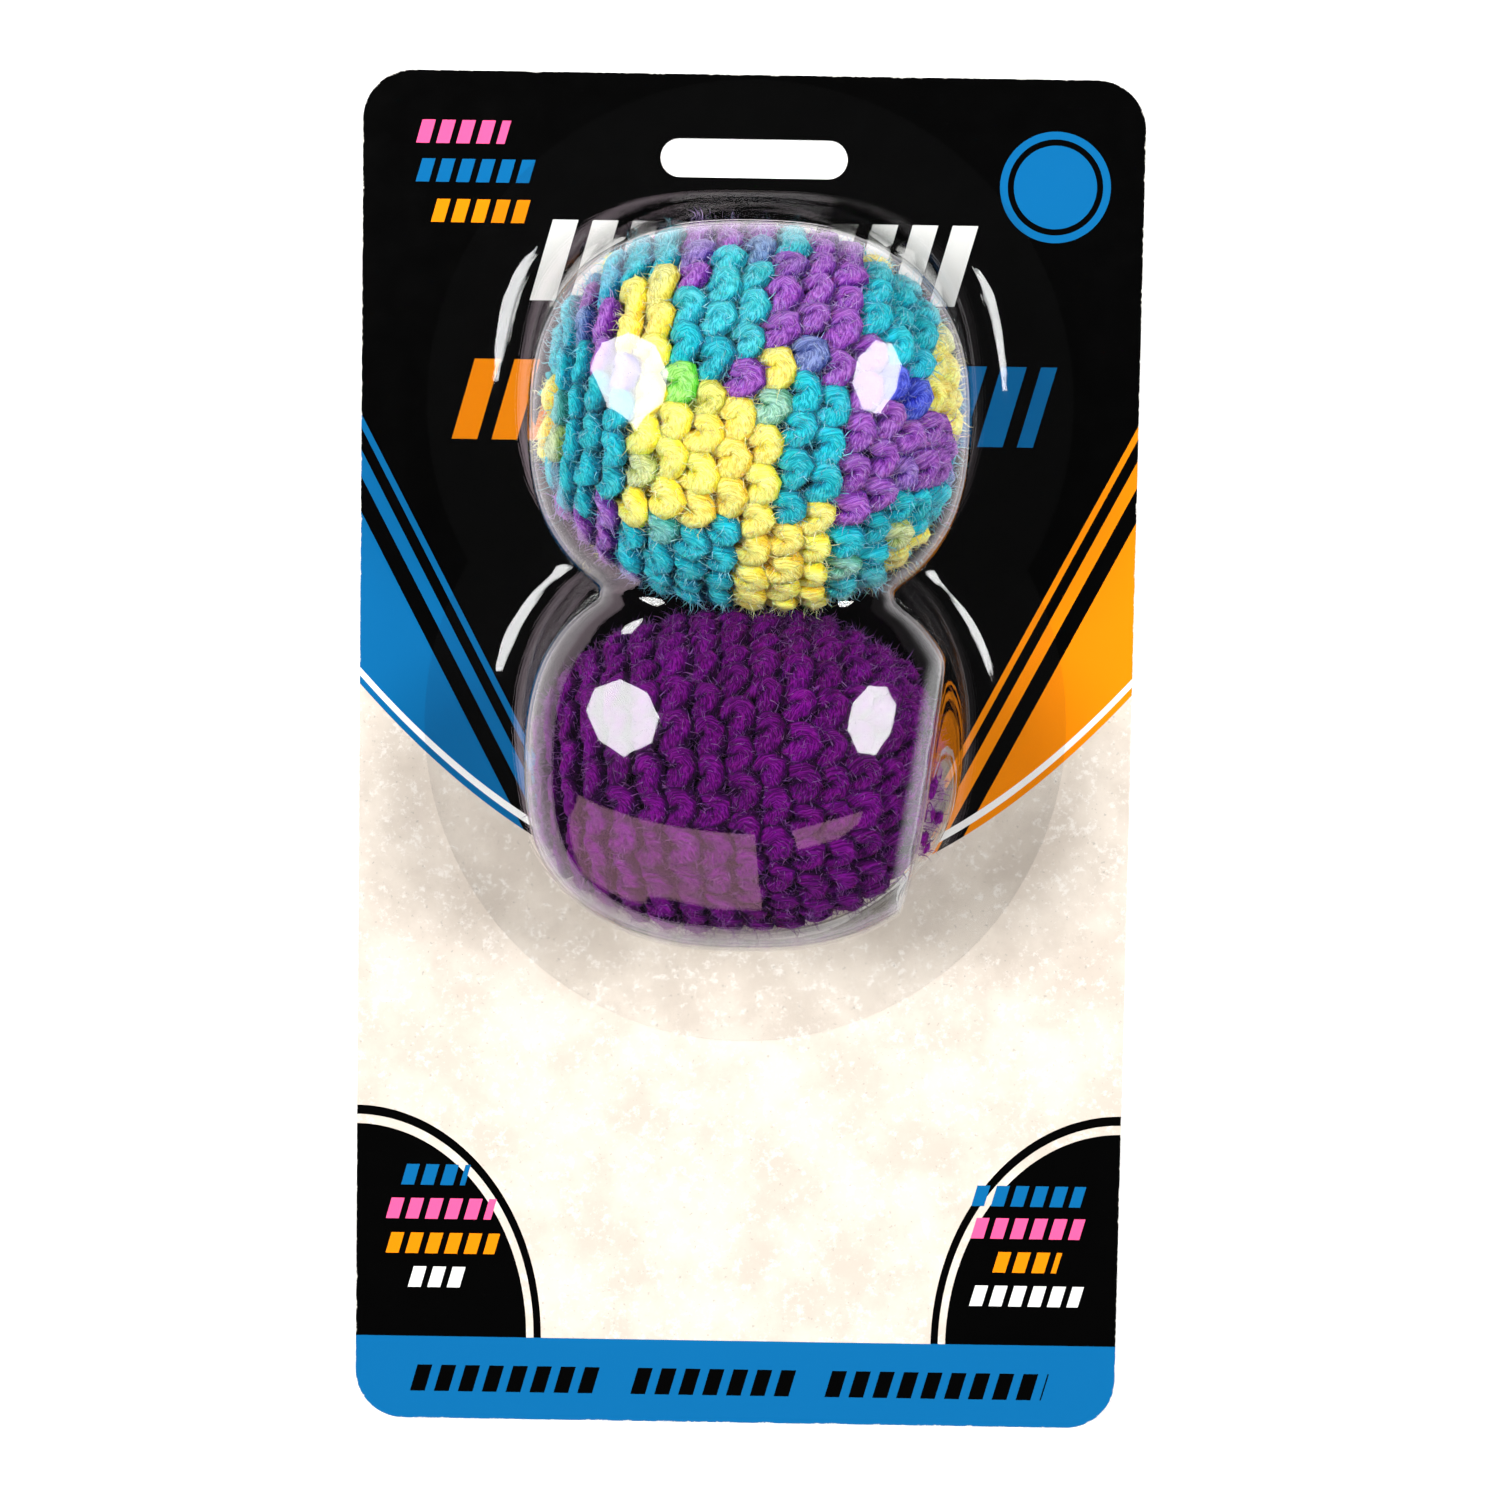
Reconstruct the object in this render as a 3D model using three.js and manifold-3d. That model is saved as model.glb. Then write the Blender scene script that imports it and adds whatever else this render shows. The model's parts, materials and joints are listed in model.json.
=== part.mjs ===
// Two crocheted footbags in their retail pack: a printed backing card with a hang slot, a clear
// vacuum-formed blister with one dome for each bag, and the two bags themselves. Each bag is a
// crocheted cover over a thin pouch of plastic pellets, with its yarn end knotted at the closing pole.
// The pack lies on its back: the card's back is at z = 0, +Z points out of the printed front, +Y
// points to the hang slot and +X to the right of someone reading the card. Millimetres.
import * as THREE from "three";
import { mergeVertices } from "three/addons/utils/BufferGeometryUtils.js";
import Module from "manifold-3d";

const wasm = await Module();
wasm.setup();

const quarterTurn = Math.PI / 2;
const fullTurn = Math.PI * 2;
const cutOverrun = 3; // how far every cutter runs past the faces that it cuts

// Backing card
const cardWidth = 101.6;
const cardHeight = 179;
const cardThickness = 0.6;
const cardCornerRadius = 6.5;
const slotWidth = 24.3;
const slotHeight = 5;
const slotDrop = 10.8; // from the card's top edge to the middle of the hang slot
const cornerSegments = 10;

// Blister: sheet, flange and the two domes
const sealCoat = 0.1; // the layer of heat-seal lacquer between card and flange
const sheetThickness = 0.4;
const sealWidth = 5.6; // flat of the flange outside the base fillet, at the dome's side
const flangeSegments = 32;
const slotToDome = 1.1; // between the hang slot and the upper dome's base
const slotMargin = 3.5; // least flange left beyond the slot
const domePitch = 42; // between the middles of the two domes
const domeBaseHalfWidth = 36.6; // where the base fillet leaves the flange, across the card
const domeBaseHalfLength = 28.4; // the same along the card
const sideFilletRun = 8.6;
const endFilletRun = 2.2;
const filletRise = 5;
const sideDraftRun = 1.1; // how far the side walls lean in from the fillet to the shoulder
const endDraftRun = 1.8;
const shoulderRadius = 8;
const shoulderTurn = THREE.MathUtils.degToRad(70);
const domeRise = 50; // height of the middle of the roof over the flange
const crownRise = 4.5; // how far the middle of the roof stands over its edge
const baseSquareness = 2.1; // exponent of the dome's outline: 2 is an ellipse, more is squarer
const shoulderSquareness = 2.5;
const filletSteps = 4;
const shoulderSteps = 4;
const roofRingShares = [0.72, 0.44, 0.18];
const domeSides = 44;

// Footbags: a cover of single crochet, a pouch and its pellets. The rounds of stitches run round the
// bag's long axis, which lies across the card, so its two poles face the dome's sides.
const bagClearance = 0.3; // between a soft piece and its neighbour
const coverThickness = 3.4;
const pouchThickness = 0.3;
const closingHoleRadius = 2.8;
const pouchNeckRadius = 1.6;
const knotRadius = 1.3; // the yarn end is tied in an overhand knot
const knotYarnRadius = 0.5;
const knotSteps = 36;
const knotSides = 6;
const coverRings = 14;
const coverSides = 28;
const liningRings = 10;
const liningSides = 20;

const upperSideGap = 0.7; // from the upper bag's poles to the dome's side walls
const upperEndGap = 0.9; // from the upper bag to the dome's end walls
const lowerSideGap = 1.6;
const lowerEndGap = 1.8; // the lower bag has room only at its foot
const bagToBag = 0.5;
const roofGap = 3.4; // from the top of a bag to the middle of the roof
const lowerSideShift = -0.4; // the lower bag lies a little to the left
const upperLean = THREE.MathUtils.degToRad(-8);
const lowerLean = THREE.MathUtils.degToRad(3);

const slotMiddle = cardHeight / 2 - slotDrop;
const upperDomeMiddle = slotMiddle - slotHeight / 2 - slotToDome - domeBaseHalfLength;
const lowerDomeMiddle = upperDomeMiddle - domePitch;
const slotReach = domeBaseHalfLength + slotToDome + slotHeight;
const flangeRadius = Math.max(domeBaseHalfWidth + sealWidth, slotReach + slotMargin);
const flangeBase = cardThickness + sealCoat;
const shoulderRise = domeRise - crownRise - shoulderRadius * Math.sin(shoulderTurn);

// The bags fill the domes between their walls at half height, and the upper one pushes the lower one
// towards the foot of its dome.
const wallHalfWidth = domeBaseHalfWidth - sideFilletRun - sideDraftRun / 2;
const wallHalfLength = domeBaseHalfLength - endFilletRun - endDraftRun / 2;
const bagHalfDepth = (flangeBase + domeRise - cardThickness - bagClearance - roofGap) / 2;
const upperBagFoot = upperDomeMiddle - wallHalfLength + upperEndGap;
const lowerBagHead = upperBagFoot - bagToBag;
const lowerBagFoot = lowerDomeMiddle - wallHalfLength + lowerEndGap;

const upperBag = {
  name: "upper",
  halfSpan: wallHalfWidth - upperSideGap,
  halfLength: wallHalfLength - upperEndGap,
  halfDepth: bagHalfDepth,
  poleSquareness: 2.3,
  roundSquareness: 2.25,
  sideShift: 0,
  middle: upperDomeMiddle,
  lean: upperLean,
};
const lowerBag = {
  name: "lower",
  halfSpan: wallHalfWidth - lowerSideGap,
  halfLength: (lowerBagHead - lowerBagFoot) / 2,
  halfDepth: bagHalfDepth,
  poleSquareness: 2.3,
  roundSquareness: 2.35,
  sideShift: lowerSideShift,
  middle: (lowerBagHead + lowerBagFoot) / 2,
  lean: lowerLean,
};

const cardMaterial = new THREE.MeshStandardMaterial({ color: 0x1c1c1e, roughness: 0.55, metalness: 0 });
const sheetMaterial = new THREE.MeshStandardMaterial({
  color: 0xf4f6f7,
  roughness: 0.08,
  metalness: 0,
  transparent: true,
  opacity: 0.2,
});
const upperYarnMaterial = new THREE.MeshStandardMaterial({ color: 0x23aeb9, roughness: 0.95, metalness: 0 });
const lowerYarnMaterial = new THREE.MeshStandardMaterial({ color: 0x5d1280, roughness: 0.95, metalness: 0 });
const pouchMaterial = new THREE.MeshStandardMaterial({ color: 0xe9e7e0, roughness: 0.6, metalness: 0 });
const pelletMaterial = new THREE.MeshStandardMaterial({ color: 0xd8d4c8, roughness: 0.5, metalness: 0 });

// A closed three.js geometry as a solid that can be cut and joined.
function solidFrom(geometry) {
  const bare = geometry.clone();
  bare.deleteAttribute("normal");
  bare.deleteAttribute("uv");
  const merged = mergeVertices(bare);
  const vertProperties = merged.attributes.position.array;
  const triVerts = new Uint32Array(merged.index.array);
  return new wasm.Manifold(new wasm.Mesh({ numProp: 3, vertProperties, triVerts }));
}

// A solid back as a three.js geometry.
function geometryFrom(solid) {
  const mesh = solid.getMesh();
  const geometry = new THREE.BufferGeometry();
  geometry.setAttribute("position", new THREE.BufferAttribute(mesh.vertProperties, mesh.numProp));
  geometry.setIndex(new THREE.BufferAttribute(mesh.triVerts, 1));
  geometry.computeVertexNormals();
  return geometry;
}

function namedMesh(name, geometry, material) {
  const mesh = new THREE.Mesh(geometry, material);
  mesh.name = name;
  return mesh;
}

// Joins rings of points, listed from the lowest up, into one closed skin between two end points.
function closedStack(rings, lowPoint, highPoint) {
  const sides = rings[0].length;
  const points = [...rings.flat(), lowPoint, highPoint];
  const low = rings.length * sides;
  const high = low + 1;
  const faces = [];
  for (let side = 0; side < sides; side += 1) {
    const next = (side + 1) % sides;
    faces.push(low, next, side);
    for (let ring = 0; ring + 1 < rings.length; ring += 1) {
      const here = ring * sides;
      const above = here + sides;
      faces.push(here + side, here + next, above + next);
      faces.push(here + side, above + next, above + side);
    }
    const last = low - sides;
    faces.push(high, last + side, last + next);
  }
  const geometry = new THREE.BufferGeometry();
  geometry.setAttribute("position", new THREE.Float32BufferAttribute(points.flat(), 3));
  geometry.setIndex(faces);
  return geometry;
}

function softPower(value, power) {
  return Math.sign(value) * Math.abs(value) ** power;
}

// One ring of a rounded outline between an ellipse and a rectangle, at the given height.
function outlineRing(halfWidth, halfLength, squareness, height, sides) {
  const ring = [];
  for (let side = 0; side < sides; side += 1) {
    const turn = (side / sides) * fullTurn;
    const x = halfWidth * softPower(Math.cos(turn), 2 / squareness);
    const y = halfLength * softPower(Math.sin(turn), 2 / squareness);
    ring.push([x, y, height]);
  }
  return ring;
}

// Card

function cardOutline() {
  const outline = new THREE.Shape();
  const right = cardWidth / 2 - cardCornerRadius;
  const top = cardHeight / 2 - cardCornerRadius;
  outline.absarc(right, top, cardCornerRadius, 0, quarterTurn);
  outline.absarc(-right, top, cardCornerRadius, quarterTurn, Math.PI);
  outline.absarc(-right, -top, cardCornerRadius, Math.PI, Math.PI + quarterTurn);
  outline.absarc(right, -top, cardCornerRadius, Math.PI + quarterTurn, fullTurn);
  return outline;
}

// The hang slot has round ends, and is punched through card and flange together.
function slotOutline() {
  const outline = new THREE.Shape();
  const endRadius = slotHeight / 2;
  const reach = slotWidth / 2 - endRadius;
  outline.absarc(reach, slotMiddle, endRadius, -quarterTurn, quarterTurn);
  outline.absarc(-reach, slotMiddle, endRadius, quarterTurn, Math.PI + quarterTurn);
  return outline;
}

function extruded(outline, base, depth) {
  const geometry = new THREE.ExtrudeGeometry(outline, {
    depth,
    bevelEnabled: false,
    curveSegments: cornerSegments,
  });
  geometry.translate(0, 0, base);
  return geometry;
}

const slotCutter = solidFrom(
  extruded(slotOutline(), -cutOverrun, flangeBase + sheetThickness + cutOverrun + cutOverrun),
);

function backingCard() {
  const board = solidFrom(extruded(cardOutline(), 0, cardThickness));
  return namedMesh("backing_card", geometryFrom(board.subtract(slotCutter)), cardMaterial);
}

// Blister

// The dome's section from the flange up to the roof: how far it has come in at the sides and at the
// ends, how high it is, and which way its outside faces there.
function domeSection() {
  const section = [];
  for (let step = 0; step <= filletSteps; step += 1) {
    const turn = (step / filletSteps) * quarterTurn;
    section.push({
      sideInset: sideFilletRun * Math.sin(turn),
      endInset: endFilletRun * Math.sin(turn),
      rise: filletRise * (1 - Math.cos(turn)),
      out: Math.sin(turn),
      up: Math.cos(turn),
    });
  }
  const middleShare = 0.5;
  section.push({
    sideInset: sideFilletRun + sideDraftRun * middleShare,
    endInset: endFilletRun + endDraftRun * middleShare,
    rise: filletRise + (shoulderRise - filletRise) * middleShare,
    out: 1,
    up: 0,
  });
  for (let step = 0; step <= shoulderSteps; step += 1) {
    const turn = (step / shoulderSteps) * shoulderTurn;
    const inset = shoulderRadius * (1 - Math.cos(turn));
    section.push({
      sideInset: sideFilletRun + sideDraftRun + inset,
      endInset: endFilletRun + endDraftRun + inset,
      rise: shoulderRise + shoulderRadius * Math.sin(turn),
      out: Math.cos(turn),
      up: Math.sin(turn),
    });
  }
  return section;
}

// The solid inside one dome's skin, from the given foot up, grown outwards by the given sheet: none
// gives the hollow, and the sheet's thickness gives the outside.
function domeSolid(middle, foot, grown) {
  const section = domeSection();
  const squarenessAt = (rise) =>
    baseSquareness + (shoulderSquareness - baseSquareness) * Math.min(rise / shoulderRise, 1);
  const rings = section.map(({ sideInset, endInset, rise, out, up }) =>
    outlineRing(
      domeBaseHalfWidth - sideInset + grown * out,
      domeBaseHalfLength - endInset + grown * out,
      squarenessAt(rise),
      rise + grown * up,
      domeSides,
    ),
  );
  rings.unshift(outlineRing(domeBaseHalfWidth, domeBaseHalfLength, baseSquareness, foot, domeSides));
  const shoulder = section[section.length - 1];
  const roofHalfWidth = domeBaseHalfWidth - shoulder.sideInset;
  const roofHalfLength = domeBaseHalfLength - shoulder.endInset;
  const crown = domeRise - shoulder.rise;
  for (const share of roofRingShares)
    rings.push(
      outlineRing(
        roofHalfWidth * share,
        roofHalfLength * share,
        shoulderSquareness,
        domeRise - crown * share * share + grown,
        domeSides,
      ),
    );
  const geometry = closedStack(rings, [0, 0, foot], [0, 0, domeRise + grown]);
  geometry.translate(0, middle, flangeBase);
  return solidFrom(geometry);
}

function flangeDisc(middle) {
  const disc = new THREE.CylinderGeometry(flangeRadius, flangeRadius, sheetThickness, flangeSegments * 2);
  disc.rotateX(quarterTurn);
  disc.translate(0, middle, flangeBase + sheetThickness / 2);
  return solidFrom(disc);
}

function blisterShell() {
  const middles = [upperDomeMiddle, lowerDomeMiddle];
  let skin = flangeDisc(upperDomeMiddle).add(flangeDisc(lowerDomeMiddle));
  for (const middle of middles) skin = skin.add(domeSolid(middle, 0, sheetThickness));
  for (const middle of middles) skin = skin.subtract(domeSolid(middle, -cutOverrun, 0));
  return namedMesh("blister_shell", geometryFrom(skin.subtract(slotCutter)), sheetMaterial);
}

// Footbags

// The rounded form of a bag, drawn in by the given inset all round, with its long axis along x.
function bagForm(bag, inset, ringCount, sides) {
  const rings = [];
  for (let step = 1; step < ringCount; step += 1) {
    const tilt = (step / ringCount) * Math.PI - quarterTurn;
    const reach = Math.cos(tilt) ** (2 / bag.poleSquareness);
    const along = (bag.halfSpan - inset) * softPower(Math.sin(tilt), 2 / bag.poleSquareness);
    const halfDepth = (bag.halfDepth - inset) * reach;
    const halfLength = (bag.halfLength - inset) * reach;
    rings.push(outlineRing(halfDepth, halfLength, bag.roundSquareness, along, sides));
  }
  const pole = bag.halfSpan - inset;
  const geometry = closedStack(rings, [0, 0, -pole], [0, 0, pole]);
  geometry.rotateY(quarterTurn);
  return solidFrom(geometry);
}

// A round hole through the wall at the pole where the crochet was finished, on the bag's left.
function poleHole(bag, radius, depth) {
  const drill = new THREE.CylinderGeometry(radius, radius, depth + cutOverrun, coverSides);
  drill.rotateZ(quarterTurn);
  drill.translate(-bag.halfSpan + depth / 2 - cutOverrun / 2, 0, 0);
  return solidFrom(drill);
}

function crochetCover(bag) {
  const hollow = bagForm(bag, coverThickness, liningRings, liningSides);
  const closingHole = poleHole(bag, closingHoleRadius, coverThickness + cutOverrun);
  return bagForm(bag, 0, coverRings, coverSides).subtract(hollow).subtract(closingHole);
}

function pelletPouch(bag) {
  const outside = coverThickness + bagClearance;
  const inside = outside + pouchThickness;
  const hollow = bagForm(bag, inside, liningRings, liningSides);
  const neck = poleHole(bag, pouchNeckRadius, inside + cutOverrun);
  return bagForm(bag, outside, liningRings, liningSides).subtract(hollow).subtract(neck);
}

function pelletFill(bag) {
  const inset = coverThickness + bagClearance + pouchThickness + bagClearance;
  return bagForm(bag, inset, liningRings, liningSides);
}

function closingKnot(bag) {
  const knot = new THREE.TorusKnotGeometry(knotRadius, knotYarnRadius, knotSteps, knotSides);
  knot.rotateY(quarterTurn);
  knot.translate(-bag.halfSpan + coverThickness / 2, 0, 0);
  return knot;
}

function footbag(bag, yarnMaterial) {
  const group = new THREE.Group();
  group.add(namedMesh(bag.name + "_crochet_cover", geometryFrom(crochetCover(bag)), yarnMaterial));
  group.add(namedMesh(bag.name + "_pellet_pouch", geometryFrom(pelletPouch(bag)), pouchMaterial));
  group.add(namedMesh(bag.name + "_pellet_fill", geometryFrom(pelletFill(bag)), pelletMaterial));
  group.add(namedMesh(bag.name + "_closing_knot", closingKnot(bag), yarnMaterial));
  group.position.set(bag.sideShift, bag.middle, cardThickness + bagClearance + bag.halfDepth);
  group.rotation.z = bag.lean;
  return group;
}

const pack = new THREE.Group();
pack.add(backingCard());
pack.add(blisterShell());
pack.add(footbag(upperBag, upperYarnMaterial));
pack.add(footbag(lowerBag, lowerYarnMaterial));

export default pack;
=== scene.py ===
# %% [markdown]
# # Two crocheted footbags in their blister pack
# The pack lies on its back on a white table, as a shop pack does when it is photographed from above.
# It is a printed card, a clear vacuum-formed sheet with two domes, and two crocheted bags of pellets.
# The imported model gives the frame: metres, the card's back at z = 0, +Z out of the printed front,
# +Y towards the hang slot. Lengths below are written in millimetres and multiplied by MM.

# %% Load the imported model
import itertools
import json
import math
import random

import bmesh
import bpy
import numpy as np
from mathutils import Euler, Matrix, Vector
from mathutils.bvhtree import BVHTree
from mathutils.kdtree import KDTree

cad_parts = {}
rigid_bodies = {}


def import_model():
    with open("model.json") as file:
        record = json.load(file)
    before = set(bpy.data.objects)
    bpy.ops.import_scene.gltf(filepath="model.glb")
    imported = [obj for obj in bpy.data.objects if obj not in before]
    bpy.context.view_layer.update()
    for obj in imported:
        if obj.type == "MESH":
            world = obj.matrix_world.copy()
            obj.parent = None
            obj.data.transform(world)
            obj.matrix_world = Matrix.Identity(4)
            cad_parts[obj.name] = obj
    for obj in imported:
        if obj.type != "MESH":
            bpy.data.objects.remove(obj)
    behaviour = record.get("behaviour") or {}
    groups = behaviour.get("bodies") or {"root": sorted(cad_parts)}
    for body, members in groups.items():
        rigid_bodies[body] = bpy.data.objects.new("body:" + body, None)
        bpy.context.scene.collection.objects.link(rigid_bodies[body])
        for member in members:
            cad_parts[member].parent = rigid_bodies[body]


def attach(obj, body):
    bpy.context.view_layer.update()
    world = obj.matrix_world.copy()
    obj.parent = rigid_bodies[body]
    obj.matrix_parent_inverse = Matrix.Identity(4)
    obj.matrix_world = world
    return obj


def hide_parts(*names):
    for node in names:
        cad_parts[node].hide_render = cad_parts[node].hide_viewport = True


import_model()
scene = bpy.context.scene
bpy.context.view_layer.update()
MM = 0.001

# %% [markdown]
# ## Sizes
# The named values of the model's source, so that each piece fills the place of its solid. The domes
# rise from the flange by a base fillet, a drafted wall, a rounded shoulder and a crowned roof. Each bag
# is a rounded form that fills the room under a roof.

# %% Sizes shared with the model
card_half_width, card_half_height, card_corner = 50.8, 89.5, 6.5
card_top = 0.6  # its thickness, since its back lies at z = 0
slot_middle = 78.7
slot_half_width, slot_half_height = 12.15, 2.5

sheet_foot = 0.7
sheet_thickness = 0.4
flange_radius = 42.2
dome_middles = (46.7, 4.7)
valley_middle = sum(dome_middles) / 2
base_half_width, base_half_length = 36.6, 28.4
side_fillet_run, end_fillet_run, fillet_rise = 8.6, 2.2, 5.0
side_draft, end_draft = 1.1, 1.8
shoulder_radius = 8.0
shoulder_turn = math.radians(70)
dome_rise, crown_rise = 50.0, 4.5
base_squareness, shoulder_squareness = 2.1, 2.5
foot_squareness, foot_height = 0.65, 9  # added in the fillet's foot, which spreads in the corners
shoulder_rise = dome_rise - crown_rise - shoulder_radius * math.sin(shoulder_turn)

cover_thickness = 3.4
soft_gap = 0.3
pouch_thickness = 0.3
roof_room = 3.4  # between a bag and the crown of its dome
upper_side_room, upper_end_room = 0.7, 0.9  # between a bag and the walls of its dome, half way up
lower_side_room, lower_end_room = 1.1, 1.8
lower_side_shift, lower_end_shift = -0.95, 0.3  # it lies a little to the left and towards the slot
between_bags = 0.8
wall_half_width = base_half_width - side_fillet_run - side_draft / 2
wall_half_length = base_half_length - end_fillet_run - end_draft / 2
bag_half_depth = (sheet_foot + dome_rise - card_top - soft_gap - roof_room) / 2
lower_head = dome_middles[0] - wall_half_length + upper_end_room - between_bags
lower_foot = dome_middles[1] - wall_half_length + lower_end_room


def power(value, exponent):
    """A power that keeps the value's sign."""
    return math.copysign(abs(value) ** exponent, value)


class Bag:
    """The rounded form of one footbag: its long axis lies along x, with the closing pole on the left."""

    def __init__(self, name, half_span, half_length, pole_power, round_power, side_shift, middle, lean):
        self.name = name
        self.halves = (half_span, half_length, bag_half_depth)
        self.pole_power, self.round_power = pole_power, round_power
        place = Vector((side_shift, middle, card_top + soft_gap + bag_half_depth))
        self.place = Matrix.Translation(place) @ Matrix.Rotation(math.radians(lean), 4, "Z")

    def point(self, share, turn, inset=0.0):
        """A point at a share of the way from the right pole (0) to the left one (1), in millimetres."""
        tilt = math.pi / 2 - share * math.pi
        reach = max(math.cos(tilt), 0.0) ** (2 / self.pole_power)
        along = power(math.sin(tilt), 2 / self.pole_power)
        y, z = power(math.sin(turn), 2 / self.round_power), power(math.cos(turn), 2 / self.round_power)
        span, length, depth = (half - inset for half in self.halves)
        return Vector((span * along, length * reach * y, depth * reach * z))

    def normal(self, p, inset=0.0):
        """Which way the form faces at a point of it."""
        span, length, depth = (half - inset for half in self.halves)
        pp, rp = self.pole_power, self.round_power
        ring = max((abs(p.y) / length) ** rp + (abs(p.z) / depth) ** rp, 1e-9)
        out = ring ** (pp / rp - 1)
        return Vector((power(p.x / span, pp - 1) / span, out * power(p.y / length, rp - 1) / length,
                       out * power(p.z / depth, rp - 1) / depth)).normalized()

    def even_shares(self, count=400):
        """Tables that turn distance along a meridian, and round a ring, into share and turn."""
        shares = np.linspace(0, 1, count)
        path = np.array([self.point(s, math.pi / 4) for s in shares])
        far = np.concatenate([[0], np.cumsum(np.linalg.norm(np.diff(path, axis=0), axis=1))])
        turns = np.linspace(0, 2 * math.pi, count)
        ring = np.array([self.point(0.5, t) for t in turns])
        around = np.concatenate([[0], np.cumsum(np.linalg.norm(np.diff(ring, axis=0), axis=1))])
        return shares, far, turns, around


upper_bag = Bag("upper", wall_half_width - upper_side_room, wall_half_length - upper_end_room, 2.3, 2.25,
                0.0, dome_middles[0], -8)
lower_bag = Bag("lower", wall_half_width - lower_side_room, (lower_head - lower_foot) / 2, 2.35, 2.35,
                lower_side_shift, (lower_head + lower_foot) / 2 + lower_end_shift, 3)
for bag in (upper_bag, lower_bag):
    print(bag.name, "bag in mm:", [round(2 * half, 1) for half in bag.halves])

# %% [markdown]
# ## Small tools
# One function adds a node and gives its outputs, and every node below is added by it. Outputs can be
# reckoned with, so that the sums of a material read as sums: each sign adds a Math node. Others turn a
# written colour into the linear values that Blender mixes, and make an object of a mesh and see to its
# normals.


# %% Nodes and sums
def add(tree, kind, inputs=(), **settings):
    """Adds a node, sets its settings, sets or links its inputs, and gives its outputs by place and name."""
    made = tree.nodes.new(kind)
    for name, value in settings.items():
        setattr(made, name, value)
    by_key = inputs if isinstance(inputs, dict) else dict(enumerate(inputs))
    for key, value in by_key.items():
        if isinstance(value, Value):
            tree.links.new(value.socket, made.inputs[key])
        else:
            made.inputs[key].default_value = value
    outputs = {socket.name: Value(socket) for socket in made.outputs}
    outputs.update((k, Value(socket)) for k, socket in enumerate(made.outputs))
    return outputs


class Value:
    """A node's output, to reckon with or to link on."""

    def __init__(self, socket):
        self.socket, self.tree = socket, socket.id_data

    def __abs__(self):
        return add(self.tree, "ShaderNodeMath", [self], operation="ABSOLUTE")[0]

    def __rsub__(self, other):
        return add(self.tree, "ShaderNodeMath", [other, self], operation="SUBTRACT")[0]


for sign, operation in (("add", "ADD"), ("sub", "SUBTRACT"), ("mul", "MULTIPLY"), ("truediv", "DIVIDE"),
                        ("gt", "GREATER_THAN"), ("lt", "LESS_THAN")):
    setattr(Value, f"__{sign}__", lambda first, second, operation=operation: add(
        first.tree, "ShaderNodeMath", [first, second], operation=operation)[0])

smooth = {"interpolation_type": "SMOOTHSTEP"}  # a Map Range that eases in and out
colours = {"data_type": "RGBA"}  # a Mix of colours


def most(first, *others):
    """The largest of the values: where each is 0 or 1, any of them."""
    for other in others:
        first = add(first.tree, "ShaderNodeMath", [first, other], operation="MAXIMUM")[0]
    return first


def between(value, low, high):
    return (value > low) * (value < high)


def far_off(across, along):
    """The distance of a point from the origin."""
    return add(across.tree, "ShaderNodeMath", [across * across + along * along], operation="SQRT")[0]


# %% Colours, materials and meshes
def linear(code):
    """An sRGB colour written as #RRGGBB, as linear red, green, blue and alpha."""
    channels = [int(code[i:i + 2], 16) / 255 for i in (1, 3, 5)]
    return (*(c / 12.92 if c <= 0.04045 else ((c + 0.055) / 1.055) ** 2.4 for c in channels), 1.0)


def new_material(name):
    """An empty node material, its tree, and its object coordinates in millimetres."""
    made = bpy.data.materials.new(name)
    made.use_nodes = True
    tree = made.node_tree
    tree.nodes.clear()
    where = {0: add(tree, "ShaderNodeTexCoord")["Object"], "Scale": 1 / MM}
    return made, tree, add(tree, "ShaderNodeVectorMath", where, operation="SCALE")[0]


def show(name, data, group=None):
    """An object of the data, in the scene or in a group of templates."""
    made = bpy.data.objects.new(name, data)
    (group or scene.collection).objects.link(made)
    return made


def new_group(name):
    """A group of templates, which are copied and then cleared away."""
    group = bpy.data.collections.new(name)
    scene.collection.children.link(group)
    return group


def new_object(name, points, faces, material=None, group=None):
    """A smooth mesh object at the origin from points in metres, its faces turned outwards."""
    mesh = bpy.data.meshes.new(name)
    mesh.from_pydata([tuple(p) for p in points], [], faces)
    work = bmesh.new()
    work.from_mesh(mesh)
    bmesh.ops.recalc_face_normals(work, faces=work.faces)
    for face in work.faces:
        face.smooth = True
    work.to_mesh(mesh)
    work.free()
    if material:
        mesh.materials.append(material)
    return show(name, mesh, group)


def fan(tip, here, sides):
    """Faces between a point and the ring of points that starts here."""
    return [(tip, here + side, here + (side + 1) % sides) for side in range(sides)]


def band(here, there, sides):
    """Faces between the rings of points that start here and there."""
    return [(here + side, here + (side + 1) % sides, there + (side + 1) % sides, there + side)
            for side in range(sides)]


def round_turns(sides):
    """The turns of the points of a ring."""
    return [side / sides * 2 * math.pi for side in range(sides)]


# %% [markdown]
# ## Camera and studio
# The camera stands 0.65 m above the card and 8 cm towards the slot, where the card's edges and the
# valley between the domes put it. The studio is dark above but for two eight-sided softboxes, 30
# degrees off the vertical on either side, and the table is white. The softboxes show as white
# eight-sided spots in each dome. The table shows as a pale band in the domes' steep sides, brightest to
# the left and at the foot, and dim to the right. This band is a painted reflection: the table glows,
# pink, only in reflections. Two small glowing boards, which light nothing, stand close to the lower
# dome and show in its foot as painted reflections.

# %% Camera
camera_data = bpy.data.cameras.new("photo camera")
camera_data.sensor_width = 36
camera_data.lens = 119.2
camera = show("photo camera", camera_data)
camera.location = (0.001, 0.0819, 0.650)
camera.rotation_euler = [math.radians(a) for a in (-7.07, 0.14, 0.90)]
scene.camera = camera

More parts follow.
